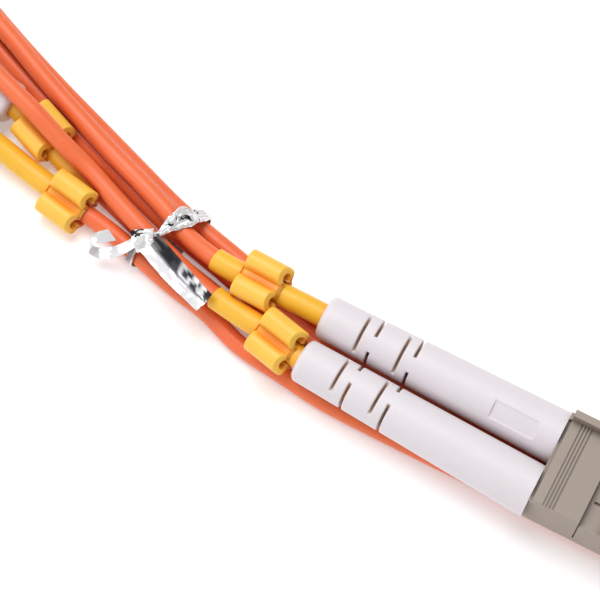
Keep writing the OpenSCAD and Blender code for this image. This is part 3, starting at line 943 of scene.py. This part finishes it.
@dataclass(frozen=True)
class LegClip:
    """Snap-on clip: two hollow lobes over a socket that is open below."""

    length: float = 4.8
    lobe_at: Flat = (1.44, 1.15)
    lobe_r: float = 1.22
    hollow_r: float = 0.55
    socket_r: float = 1.4
    outer_r: float = 1.9
    saddle_r: float = 1.52
    mouth_half: float = 0.85
    lip_z: float = -1.15
    edge: float = 0.28
    edge_steps: int = 4
    mid_rings: int = 7
    mitre_least: float = 0.5
    slant: float = 0.85
    slant_from: float = 1.0
    slant_over: float = 1.3
    # Painted orange shade: the valley's half width, the height it starts above and its fade, its share
    # in the hollows and on the socket, and how near the socket's circle that share reaches.
    valley_half: float = 0.8
    valley_above: float = 1.2
    valley_fade: float = 0.7
    hollow_shade: float = 0.75
    socket_reach: float = 0.05
    sharp: float = 80.0
    # The outside's steps and the bore's give as many points each, so that end_faces can pair them.
    outer_steps: int = 10
    lobe_steps: int = 30
    saddle_steps: int = 4
    socket_steps: int = 12
    hollow_steps: int = 26
    crown_steps: int = 5

    def meeting(self, big: float, small: float) -> tuple[float, float]:
        """Angles, seen from the socket, where its circle meets a lobe's.

        Args:
            big: Radius of the circle about the socket.
            small: Radius of the circle about the lobe.

        Returns:
            The lower and the upper angle, in degrees.
        """
        apart = math.hypot(*self.lobe_at)
        middle = math.degrees(math.atan2(self.lobe_at[1], self.lobe_at[0]))
        reach = (big**2 - small**2 + apart**2) / (2 * apart)
        half = math.degrees(math.acos(reach / big))
        return middle - half, middle + half

    def around_lobe(self, below: float, above: float, small: float, steps: int) -> list[Flat]:
        """The arc of a circle about the right-hand lobe that lies outside the socket's circles.

        Args:
            below: Radius about the socket that the arc rises from.
            above: Radius about the socket that it comes down to, between the lobes.
            small: Radius about the lobe.
            steps: Number of steps.

        Returns:
            The arc's points, from the outer side over the top.
        """
        meets = ((below, self.meeting(below, small)[0]), (above, self.meeting(above, small)[1]))
        ends = [
            math.degrees(
                math.atan2(
                    big * math.sin(math.radians(a)) - self.lobe_at[1],
                    big * math.cos(math.radians(a)) - self.lobe_at[0],
                )
            )
            for big, a in meets
        ]
        if ends[1] < ends[0]:
            ends[1] += 360.0
        return arc(self.lobe_at, small, ends[0], ends[1], steps)

    def outline(self) -> list[Flat]:
        """The clip's whole outline, as one closed line."""
        low = self.meeting(self.outer_r, self.lobe_r)[0]
        high = self.meeting(self.saddle_r, self.lobe_r)[1]
        lip = math.degrees(math.asin(self.lip_z / self.outer_r))
        right = arc((0.0, 0.0), self.outer_r, lip, low, self.outer_steps)[:-1]
        right += self.around_lobe(self.outer_r, self.saddle_r, self.lobe_r, self.lobe_steps)
        right += arc((0.0, 0.0), self.saddle_r, high, 90.0, self.saddle_steps)[1:]
        outside = right + [(-x, y) for x, y in reversed(right[:-1])]
        low, high = self.meeting(self.socket_r, self.hollow_r)
        lip = -math.degrees(math.acos(self.mouth_half / self.socket_r))
        bore = [(self.mouth_half, self.lip_z)]
        bore += arc((0.0, 0.0), self.socket_r, lip, low, self.socket_steps)[:-1]
        bore += self.around_lobe(self.socket_r, self.socket_r, self.hollow_r, self.hollow_steps)
        bore += arc((0.0, 0.0), self.socket_r, high, 90.0, self.crown_steps)[1:]
        inside = bore + [(-x, y) for x, y in reversed(bore[:-1])]
        return outside + list(reversed(inside))

    def form(self, open_way: int) -> Shape:
        """The clip with its rounded edges, its middle at the origin and X along the leg.

        Args:
            open_way: Which end has its lobes cut back: 1 for the one along X, -1 for the other.

        Returns:
            The clip, with the share of its painted orange shade as shade.
        """
        outline = [Vector(q) for q in self.outline()]
        count = len(outline)
        normals = []
        for k, q in enumerate(outline):
            before = (q - outline[k - 1]).normalized()
            after = (outline[(k + 1) % count] - q).normalized()
            out = Vector((before.y, -before.x)) + Vector((after.y, -after.x))
            out.normalize()
            corner = max(self.mitre_least, out.dot(Vector((after.y, -after.x))))
            normals.append(out / corner)
        half = self.length / 2
        ends = rounding(self.edge, self.edge_steps)
        parts = (self.mid_rings + 1) / 2
        stations = [(-half + x, inset) for inset, x in ends]
        stations += [(half * (k + 1 - parts) / parts, 0.0) for k in range(self.mid_rings)]
        stations += [(half - x, inset) for inset, x in reversed(ends)]
        rings, shade = [], []
        for x, inset in stations:
            flat = [q - n * inset for q, n in zip(outline, normals)]
            rings.append([Vector((self.cut_back(x, q.y, open_way), q.x, q.y)) for q in flat])
            # Painted orange shade in the valley and the hollows.
            shade += [self.shade_share(x, q, n) for q, n in zip(outline, normals)]
        shape = loft(rings)
        shape.faces = shape.faces[:-2] + self.end_faces(count, 0, True)
        shape.faces += self.end_faces(count, (len(rings) - 1) * count, False)
        shape.shade = shade
        return shape

    def end_faces(self, count: int, first: int, turned: bool) -> list[tuple[int, ...]]:
        """Faces of one end, each from a stretch of the outside to the same stretch of the bore.

        Args:
            count: Points in the outline; its outside and its bore have half of them each.
            first: Number of the end ring's first point.
            turned: Whether the faces look the other way.

        Returns:
            The faces, one for each step along the outline.
        """
        found = []
        for k in range(count // 2 - 1):
            face = (first + k, first + k + 1, first + count - 2 - k, first + count - 1 - k)
            found.append(face[::-1] if turned else face)
        return found

    def cut_back(self, x: float, height: float, open_way: int) -> float:
        """A station along the clip, drawn in at the open end, where the lobes' tops are cut back."""
        share = min(1.0, max(0.0, (height - self.slant_from) / self.slant_over))
        near = max(0.0, x * open_way) / (self.length / 2)
        return x - open_way * self.slant * share * near**3

    def shade_share(self, x: float, q: Vector, out: Vector) -> float:
        """How much painted orange shade a point has: in the valley between the lobes, and in the
        hollows.
        """
        in_hollow = q.dot(out) < 0 and q.length < self.outer_r
        if in_hollow or abs(q.length - self.socket_r) < self.socket_reach:
            return self.hollow_shade
        if q.y < self.valley_above or abs(q.x) > self.valley_half:
            return 0.0
        along = min(1.0, abs(x) / (self.length / 2))
        return (1.0 - abs(q.x) / self.valley_half) ** self.valley_fade * (1.0 - along**3)

    def build(self, leg: Leg) -> None:
        """Makes and dresses the clip on one leg."""
        name = leg.channel.name
        open_way = -1 if leg.channel.end is END_A else 1
        shape = self.form(open_way).moved(leg.clip_frame())
        clip = make_piece(
            f"snap_clip_{name}", shape, "base", [f"leg_clip_{name}"], self.sharp
        )
        dress(clip, YELLOW_MOULDING.material())


@dataclass(frozen=True)
class FlexSlot:
    """A slot cut across the boot: its distance from the tip, its turn and its floor's distance."""

    at: float
    roll: float
    floor: float


@dataclass(frozen=True)
class Boot:
    """Strain relief boot: a taper with flex slots, a shallow recess and a bore."""

    length: float = 26.9
    base_r: float = 2.825
    tip_r: float = 2.3
    bore_r: float = 1.3
    cavity_r: float = 1.75
    cavity_back: float = -11.5
    slot_half: float = 0.15
    slot_edge: float = 0.14
    slot_skin: float = 0.06
    wide_at: Flat = (4.5, 9.05)
    pair_at: Flat = (5.95, 10.4)
    wide_floor: float = 1.2
    pair_floor: float = 0.85
    recess_at: float = 22.1
    recess_half: Flat = (2.4, 0.9)
    recess_deep: float = 0.2
    recess_edge: float = 0.12
    recess_follow: float = 0.6
    tip_edge: float = 0.6
    tip_steps: int = 5
    ring_step: float = 0.55
    wall_step: float = 0.01
    slot_steps: int = 4
    recess_steps: int = 2
    sides: int = 160
    bore_steps: int = 8
    # Painted shade in the flex slots: the depth it starts at, the depth over which it grows, and how far
    # before the recess it stops.
    shade_from: float = 0.12
    shade_over: float = 0.3
    shade_clear: float = 4.0

    def slots(self, channel: Channel) -> list[FlexSlot]:
        """The boot's eight flex slots, two across from each other at each place."""
        rows = (
            (self.wide_at, channel.slot_roll, (0, 180), self.wide_floor),
            (self.pair_at, channel.pair_roll, (-90, 90), self.pair_floor),
        )
        return [
            FlexSlot(at, roll + turn, floor)
            for places, roll, turns, floor in rows
            for at in places
            for turn in turns
        ]

    def taper(self, t: float) -> float:
        """Radius of the plain taper at a distance from the tip."""
        r = self.tip_r + (self.base_r - self.tip_r) * t / self.length
        if t < self.tip_edge:
            inward = self.tip_edge - t
            r -= self.tip_edge - math.sqrt(max(self.tip_edge**2 - inward**2, 0.0))
        return r

    def stations(self) -> list[float]:
        """Distances from the tip at which the boot has a ring."""
        found = {round(x, 4) for _, x in rounding(self.tip_edge, self.tip_steps)}
        found |= {self.ring_step * k for k in range(1, int(self.length / self.ring_step))}
        found.add(self.length)
        steps = self.slot_steps
        walls = [self.slot_half + self.slot_edge * k / steps for k in range(steps + 1)]
        walls.append(self.slot_half - self.wall_step)
        for at in (*self.wide_at, *self.pair_at):
            found = {t for t in found if abs(t - at) > self.slot_half + self.slot_edge}
            found |= {at + sign * x for x in walls for sign in (-1, 1)}
            found.add(at)
        steps = self.recess_steps
        for sign in (-1, 1):
            wall = self.recess_at + sign * self.recess_half[0]
            found |= {wall + sign * self.recess_edge * k / steps for k in range(steps + 1)}
        return sorted(found)

    def radius(self, t: float, angle: float, slots: Sequence[FlexSlot], recess_roll: float) -> float:
        """Radius of the boot's skin.

        Args:
            t: Distance from the tip.
            angle: Angle about the boot's axis, in degrees from straight up towards +Y.
            slots: The boot's flex slots.
            recess_roll: Angle of the shallow recess, in degrees.

        Returns:
            The distance from the boot's axis to its skin.
        """
        plain = self.taper(t)
        r = plain
        for slot in slots:
            off = abs(t - slot.at)
            turn = math.radians((angle - slot.roll + 180.0) % 360.0 - 180.0)
            if off > self.slot_half + self.slot_edge or abs(turn) > math.acos(slot.floor / plain):
                continue
            bottom = max(slot.floor / math.cos(turn), self.bore_r + self.slot_skin)
            if off < self.slot_half:
                r = min(r, bottom)
            else:
                over = self.slot_half + self.slot_edge - off
                drop = self.slot_edge - math.sqrt(max(self.slot_edge**2 - over**2, 0.0))
                r = min(r, max(plain - drop, bottom))
        turn = math.radians((angle - recess_roll + 180.0) % 360.0 - 180.0)
        if abs(turn) < math.pi / 4:
            past = max(
                abs(t - self.recess_at) - self.recess_half[0],
                plain * abs(math.sin(turn)) - self.recess_half[1],
            )
            share = min(1.0, max(0.0, 1.0 - past / self.recess_edge))
            r -= share * (self.recess_deep - (plain - plain * math.cos(turn)) * self.recess_follow)
        return r

    def shade_share(self, t: float, depth: float) -> float:
        """How much painted shade shows at a depth below the taper, in the slots; the recess stays plain.
        """
        if t >= self.recess_at - self.shade_clear:
            return 0.0
        return min(1.0, max(0.0, (depth - self.shade_from) / self.shade_over))

    def form(self, channel: Channel) -> Shape:
        """The boot in the part's frame."""
        slots = self.slots(channel)
        behind = channel.bend_x - channel.boot_back
        own, plug = channel.boot_frame(), channel.plug_frame()
        turns = [360.0 * k / self.sides for k in range(self.sides)]
        ways = [Vector((0.0, math.sin(math.radians(a)), math.cos(math.radians(a)))) for a in turns]
        to_plug = plug.inverted() @ own
        rings, shade = [], []
        for t in self.stations():
            radii = [self.radius(t, a, slots, channel.recess_roll) for a in turns]
            ring = [Vector((t - behind, 0.0, 0.0)) + way * r for way, r in zip(ways, radii)]
            if t == self.length:
                flat = [to_plug @ p for p in ring]
                rings.append([plug @ Vector((channel.end.clip_back, p.y, p.z)) for p in flat])
            else:
                rings.append([own @ p for p in ring])
            plain = self.taper(t)
            # Painted shade at the bottom of the flex slots.
            shade += [self.shade_share(t, plain - r) for r in radii]
        for x in (channel.end.clip_back, self.cavity_back):
            rings.append([plug @ (Vector((x, 0.0, 0.0)) + way * self.cavity_r) for way in ways])
        bore_from = self.cavity_back - channel.bend_x
        for k in range(self.bore_steps + 1):
            x = bore_from + (-behind - bore_from) * k / self.bore_steps
            rings.append([own @ (Vector((x, 0.0, 0.0)) + way * self.bore_r) for way in ways])
        shape = loft(rings, loop=True)
        shape.shade = shade + [0.0] * (len(shape.points) - len(shade))
        return shape

    def build(self, channel: Channel) -> None:
        """Makes and dresses the boot of one channel."""
        boot = make_piece(
            f"strain_boot_{channel.name}", self.form(channel), "base", [f"boot_{channel.name}"]
        )
        dress(boot, BOOT_PLASTIC.material())


# ---- Foil tie ----


@dataclass(frozen=True)
class FoilStrip:
    """A loose stretch of the tie: lines along it, from its one edge to its other, and its crumple."""

    name: str
    lines: tuple[tuple[tuple[float, float, float], ...], ...]
    crumple: float
    thick: float = 0.1
    across: int = 6
    per: int = 7
    finish: FoilFinish = SMOOTH_FOIL
    # Number of the line where the painted dark reflection starts, the share all dark, and its tones.
    reflection_face_from: int | None = None
    dark_root: float = 0.42
    fold_dark: float = 0.8
    patch_pale: float = 0.25
    patch_from: float = 0.05
    patch_scale: float = 1.1
    fold_scale: float = 0.9
    fold_rise: float = 2.0
    crease_scale: float = 2.3
    crease_rise: float = 0.4

    def rows(self) -> list[list[Vector]]:
        """Points of the strip's middle surface: a row across it at each place along it."""
        drawn = [Route(tuple(Vector(p) for p in line)).even(self.per) for line in self.lines]
        rows = []
        for places in zip(*drawn):
            row = []
            for a, b in zip(places, places[1:]):
                row += [a.lerp(b, k / self.across) for k in range(self.across)]
            rows.append([*row, places[-1]])
        return rows

    def reflection_darkness(self, place: Vector, share: float, column: int) -> float:
        """Painted dark reflection of a point: along the strip's fold, near its root, and in patches
        beyond.
        """
        if self.reflection_face_from is None or column < self.reflection_face_from * self.across:
            return 0.0
        if column == self.reflection_face_from * self.across:
            return self.fold_dark
        if share < self.dark_root:
            return 1.0
        return 1.0 if noise.noise(place * self.patch_scale) > self.patch_from else self.patch_pale

    def rise(self, place: Vector) -> float:
        """How far the crumpled foil stands off its own middle surface."""
        fold = self.fold_rise * abs(noise.noise(place * self.fold_scale))
        crease = self.crease_rise * noise.noise(place * self.crease_scale)
        return self.crumple * (fold + crease)

    def form(self) -> Shape:
        """The strip as one thin closed form, creased along and across."""
        rows = self.rows()
        last, side = len(rows) - 1, len(rows[0]) - 1
        rings, shade = [], []
        for i, row in enumerate(rows):
            upper, lower = [], []
            for k, p in enumerate(row):
                onward = rows[min(i + 1, last)][k] - rows[max(i - 1, 0)][k]
                sideways = row[min(k + 1, side)] - row[max(k - 1, 0)]
                out = sideways.cross(onward).normalized()
                lift = self.rise(p)
                upper.append(p + out * (lift + self.thick / 2))
                lower.append(p + out * (lift - self.thick / 2))
            rings.append(upper + lower[::-1])
            # Painted dark reflection on the strip's dark face.
            dark = [self.reflection_darkness(p, i / last, k) for k, p in enumerate(row)]
            shade += dark + dark[::-1]
        shape = loft(rings)
        shape.shade = shade
        return shape


@dataclass(frozen=True)
class FoilTie:
    """Foil twist tie: a band gathered at a pinch on top of the strands, a knot and two tails."""

    place: Flat = (42.0, -32.5)
    turn: float = -47.0
    strands: tuple[Flat, ...] = ((-3.75, 1.2), (3.5, 1.2), (1.7, 3.5), (-2.1, 3.45))
    strand_r: float = 1.0
    slack: float = 0.06
    thick: float = 0.1
    middle: Flat = (0.0, 2.2)
    flat_below: float = 1.4
    ridges: float = 3.5
    ridge_rise: float = 0.3
    wobble: float = 0.5
    wobble_scale: tuple[float, float, float] = (0.8, 0.7, 0.7)
    pinch_turn: float = 120.0
    pinch_rise: float = 0.35
    open_over: float = 35.0
    rays: int = 720
    steps: int = 150
    across: int = 22
    sharp: float = 18.0
    # Turn about the bundle, from its right-hand side over the top, and the band's two edges there.
    edges: tuple[tuple[float, float, float], ...] = (
        (-90.0, -1.0, 1.9), (-13.0, 0.5, 1.7), (15.0, 0.2, 1.9), (50.0, -0.6, 1.9),
        (75.0, -0.6, 1.3), (100.0, -0.4, 0.7), (120.0, -0.2, 0.4), (140.0, -1.5, -0.4),
        (160.0, -1.7, -0.8), (192.0, -1.2, -0.5), (225.0, -1.2, 0.2), (270.0, -1.0, 1.9),
    )
    knot: FoilStrip = FoilStrip(
        "foil_knot",
        (
            ((38.2, -33.0, 4.4), (38.3, -34.2, 4.5), (38.7, -35.4, 4.2)),
            ((39.3, -33.0, 4.9), (39.4, -34.1, 5.0), (39.6, -35.3, 4.6)),
            ((40.5, -33.1, 5.1), (40.4, -34.0, 5.2), (40.5, -35.0, 5.0)),
        ),
        crumple=0.22, thick=0.34, finish=FOIL,
    )
    short_tail: FoilStrip = FoilStrip(
        "foil_tail_short",
        (
            (
                (38.4, -33.7, 4.4), (36.9, -34.0, 3.3), (35.5, -33.9, 2.4), (34.4, -33.7, 2.2),
                (33.9, -33.4, 3.1), (34.6, -32.9, 4.0), (35.8, -32.7, 4.4),
            ),
            (
                (38.6, -34.7, 4.1), (37.0, -35.1, 3.0), (35.7, -35.0, 2.0), (34.5, -34.7, 1.6),
                (33.7, -34.4, 2.3), (34.3, -34.0, 3.2), (36.6, -33.7, 3.7),
            ),
        ),
        crumple=0.08, thick=0.09,
    )
    long_tail: FoilStrip = FoilStrip(
        "foil_tail_long",
        (
            ((38.9, -35.2, 4.5), (41.4, -38.6, 4.7), (43.4, -41.0, 5.0), (44.6, -42.4, 5.2)),
            ((40.2, -34.9, 5.1), (42.3, -37.8, 5.1), (44.2, -40.2, 5.4), (45.5, -41.8, 5.7)),
            ((40.9, -33.7, 5.3), (42.9, -36.6, 5.7), (45.0, -39.5, 6.0), (46.2, -41.1, 6.2)),
        ),
        crumple=0.12, thick=0.09, reflection_face_from=1,
    )

    def wrap(self, steps: int) -> list[Flat]:
        """Evenly spaced points round the strands, as (sideways, up), drawn tight over them."""
        tight = []
        for k in range(self.rays):
            turn = math.radians(360.0 * k / self.rays - 90.0)
            way = Vector((math.cos(turn), math.sin(turn)))
            furthest = max(self.strands, key=lambda q: Vector(q).dot(way))
            tight.append(Vector(furthest) + way * self.strand_r)
        tight.append(tight[0])
        step = sum((b - a).length for a, b in zip(tight, tight[1:])) / steps
        points, walked = [], 0.0
        for a, b in zip(tight, tight[1:]):
            run = (b - a).length
            while walked <= run and len(points) < steps:
                points.append(tuple(a.lerp(b, walked / run if run > 0 else 0.0)))
                walked += step
            walked -= run
        return points

    def edges_at(self, turn: float) -> Flat:
        """The band's two edges at a turn about the bundle, in degrees from -90 to 270."""
        for (t0, low0, high0), (t1, low1, high1) in zip(self.edges, self.edges[1:]):
            if turn <= t1:
                part = (turn - t0) / (t1 - t0)
                part = part * part * (3 - 2 * part)
                return low0 + (low1 - low0) * part, high0 + (high1 - high0) * part
        return self.edges[-1][1:]

    def band_form(self) -> Shape:
        """The band: narrow at the pinch, fanned out beyond it, with ridges that run from the pinch."""
        points = self.wrap(self.steps)
        count = len(points)
        rings = []
        for i, (y, z) in enumerate(points):
            before, after = points[i - 1], points[(i + 1) % count]
            out = Vector((0.0, after[1] - before[1], before[0] - after[0])).normalized()
            turn = math.degrees(math.atan2(z - self.middle[1], y - self.middle[0]))
            turn = turn if turn > -90 else turn + 360
            low, high = self.edges_at(turn)
            away = min(1.0, abs(turn - self.pinch_turn) / self.open_over)
            opened = self.pinch_rise + (1.0 - self.pinch_rise) * away
            rise = self.ridge_rise * opened if z > self.flat_below else 0.0
            upper, lower = [], []
            for k in range(self.across + 1):
                share = k / self.across
                x = low + (high - low) * share
                sample = Vector([a * b for a, b in zip((x, y, z), self.wobble_scale)])
                wobble = self.wobble * noise.noise(sample)
                ridge = abs((share * self.ridges + wobble) % 1.0 * 2 - 1)
                base = Vector((x, y, z)) + out * (self.slack + rise * ridge)
                lower.append(base)
                upper.append(base + out * self.thick)
            rings.append(upper + lower[::-1])
        place = Matrix.Translation((*self.place, 0.0)) @ Matrix.Rotation(math.radians(self.turn), 4, "Z")
        return loft(rings, loop=True).moved(place)

    def build(self) -> None:
        """Makes and dresses the band, the knot and the two tails."""
        band = make_piece("foil_band", self.band_form(), "base", ["twist_tie"], self.sharp)
        dress(band, FOIL.material())
        for strip in (self.knot, self.short_tail, self.long_tail):
            piece = make_piece(strip.name, strip.form(), "base", sharp=self.sharp)
            dress(piece, strip.finish.material())


# ---- Plugs ----

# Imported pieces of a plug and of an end: kind, finish, and the width of their rounded edges.
PLUG_PIECES = (
    ("front_housing", CONNECTOR_PLASTIC, 0.08),
    ("latch", CONNECTOR_PLASTIC, 0.06),
    ("rear_body", CONNECTOR_PLASTIC, 0.05),
    ("ferrule", CERAMIC, 0.0),
    ("ferrule_flange", FLANGE_METAL, 0.04),
    ("crimp_ring", CRIMP_METAL, 0.05),
    ("fibre", BUFFER_COAT, 0.0),
)
END_PIECES = (("duplex_clip", CONNECTOR_PLASTIC, 0.07), ("trigger", CONNECTOR_PLASTIC, 0.08))


@dataclass(frozen=True)
class Plug:
    """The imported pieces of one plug, finished in place, and its wound spring."""

    channel: Channel
    seat_x: float = 4.9
    collar_x: float = 8.2
    spring_r: float = 1.15
    wire_r: float = 0.1
    turns: int = 5
    per_turn: int = 28
    wire_sides: int = 10

    def spring_form(self) -> Shape:
        """The open compression spring between its seat and the ferrule's collar."""
        first, last = self.seat_x + self.wire_r, self.collar_x - self.wire_r
        count = self.turns * self.per_turn
        rings = []
        for i in range(count + 1):
            a = 2 * math.pi * i / self.per_turn
            x = first + (last - first) * i / count
            way = Vector((0.0, math.cos(a), math.sin(a)))
            ring = []
            for k in range(self.wire_sides):
                b = 2 * math.pi * k / self.wire_sides
                centre = Vector((x + self.wire_r * math.cos(b), 0.0, 0.0))
                ring.append(centre + way * (self.spring_r + self.wire_r * math.sin(b)))
            rings.append(ring)
        return loft(rings).moved(self.channel.plug_frame())

    def build(self, nodes: dict[str, bpy.types.Object]) -> None:
        """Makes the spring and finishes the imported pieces.

        Args:
            nodes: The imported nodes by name.
        """
        name = self.channel.name
        spring = make_piece(
            f"coil_spring_{name}", self.spring_form(), None, [f"spring_{name}"]
        )
        dress(spring, SPRING_STEEL.material())
        start = self.channel.on_plug(self.seat_x) * MM
        end = self.channel.on_plug(self.collar_x) * MM
        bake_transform(spring)
        for kind, finish, edge in PLUG_PIECES:
            finish_node(nodes[f"{kind}_{name}"], finish, edge)


def finish_node(node: bpy.types.Object, finish: Finish, edge: float) -> None:
    """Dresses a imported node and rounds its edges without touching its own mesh.

    Args:
        node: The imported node.
        finish: The finish that it gets.
        edge: Width of the rounding, or 0 for none.
    """
    dress(node, finish.material())
    if edge > 0:
        weld = node.modifiers.new("one_skin", "WELD")
        weld.merge_threshold = WELD_REACH * MM
        bevel = node.modifiers.new("soft_edges", "BEVEL")
        bevel.width = edge * MM
        bevel.segments = 2
        bevel.limit_method = "ANGLE"
        bevel.angle_limit = ROUND_FROM
        bevel.harden_normals = False
        shading = node.modifiers.new("even_shading", "WEIGHTED_NORMAL")
        shading.keep_sharp = False
    LOG.info("%s: packed node, %s", node.name, finish.name)


# ---- Studio ----


@dataclass(frozen=True)
class Studio:
    """Camera, pale floor and soft light."""

    camera_at: tuple[float, float, float] = (39.27, -135.72, 231.1)
    yaw: float = 9.6
    drop: float = 67.07
    roll: float = 7.52
    lens: float = 144.15
    sensor: float = 36.0
    near: float = 10.0
    far: float = 20000.0
    middle: tuple[float, float, float] = (60.0, -35.0, 0.0)
    floor_half: float = 1500.0
    floor_colour: Colour = (0.9, 0.9, 0.9)
    floor_rough: float = 0.9
    floor_specular: float = 0.1
    floor_glow: float = 0.22
    world_light: float = 0.5
    # Each light's name, its place, its width and its power in watts.
    lights: tuple[tuple[str, tuple[float, float, float], float, float], ...] = (
        ("top_softbox", (-60.0, 160.0, 620.0), 420.0, 2.8),
        ("side_softbox", (-420.0, -180.0, 330.0), 300.0, 0.6),
    )

    def add_camera(self) -> None:
        """Makes the camera and gives it to the scene."""
        yaw, drop, roll = (math.radians(a) for a in (self.yaw, self.drop, self.roll))
        ahead = Vector((math.sin(yaw) * math.cos(drop), math.cos(yaw) * math.cos(drop), -math.sin(drop)))
        right = ahead.cross(UP).normalized()
        up = right.cross(ahead)
        tilted = right * math.cos(roll) + up * math.sin(roll)
        top = up * math.cos(roll) - right * math.sin(roll)
        data = bpy.data.cameras.new("camera")
        data.lens = self.lens
        data.sensor_width = self.sensor
        data.clip_start = self.near * MM
        data.clip_end = self.far * MM
        camera = bpy.data.objects.new("camera", data)
        matrix = Matrix((tilted, top, -ahead)).transposed().to_4x4()
        matrix.translation = Vector(self.camera_at) * MM
        camera.matrix_world = matrix
        bpy.context.scene.collection.objects.link(camera)
        bpy.context.scene.camera = camera

    def add_floor(self) -> None:
        """Makes the plain pale floor."""
        half = self.floor_half * MM
        outline = [(-half, -half, 0.0), (half, -half, 0.0), (half, half, 0.0), (-half, half, 0.0)]
        mesh = bpy.data.meshes.new("floor")
        mesh.from_pydata(outline, [], [(0, 1, 2, 3)])
        floor = bpy.data.objects.new("floor", mesh)
        bpy.context.scene.collection.objects.link(floor)
        material = bpy.data.materials.new("pale_floor")
        material.use_nodes = True
        uniform = {
            "Base Color": (*self.floor_colour, 1.0),
            "Roughness": self.floor_rough,
            "Specular IOR Level": self.floor_specular,
            "Emission Color": (1.0, 1.0, 1.0, 1.0),
            "Emission Strength": self.floor_glow,
        }
        set_inputs(material.node_tree.nodes["Principled BSDF"], uniform)
        dress(floor, material)

    def add_light(self, name: str, place: tuple[float, float, float], size: float, power: float) -> None:
        """Makes one soft square light that faces the middle of the object.

        Args:
            name: The light's name.
            place: Where it stands.
            size: Width of its face.
            power: Its power, in watts.
        """
        data = bpy.data.lights.new(name, "AREA")
        data.size = size * MM
        data.energy = power
        light = bpy.data.objects.new(name, data)
        light.location = Vector(place) * MM
        aim = Vector(self.middle) - Vector(place)
        light.rotation_mode = "QUATERNION"
        light.rotation_quaternion = aim.to_track_quat("-Z", "Y")
        bpy.context.scene.collection.objects.link(light)

    def build(self) -> None:
        """Makes the floor, the lights and the world, and sets how light becomes colour."""
        self.add_floor()
        for name, place, size, power in self.lights:
            self.add_light(name, place, size, power)
        world = bpy.data.worlds.new("studio")
        world.use_nodes = True
        background = {"Color": (1.0, 1.0, 1.0, 1.0), "Strength": self.world_light}
        set_inputs(world.node_tree.nodes["Background"], background)
        bpy.context.scene.world = world
        bpy.context.scene.view_settings.view_transform = "Standard"


def main() -> None:
    """Builds the camera, the cords, the mouldings, the plugs and the studio, in that order."""
    logging.basicConfig(level=logging.INFO, format="%(name)s %(message)s")
    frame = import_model()
    nodes = frame["nodes"]
    studio = Studio()
    studio.add_camera()
    zip_cord = ZipCord()
    zip_route = zip_cord.build()
    legs = [Leg(channel, zip_route, zip_cord.pitch) for channel in CHANNELS]
    for leg in legs:
        leg.build()
        LegClip().build(leg)
        Boot().build(leg.channel)
        Plug(leg.channel).build(nodes)
    for end in (END_A, END_B):
        for kind, finish, edge in END_PIECES:
            finish_node(nodes[f"{kind}_{end.letter}"], finish, edge)
    FoilTie().build()
    studio.build()


if __name__ == "__main__":
    main()
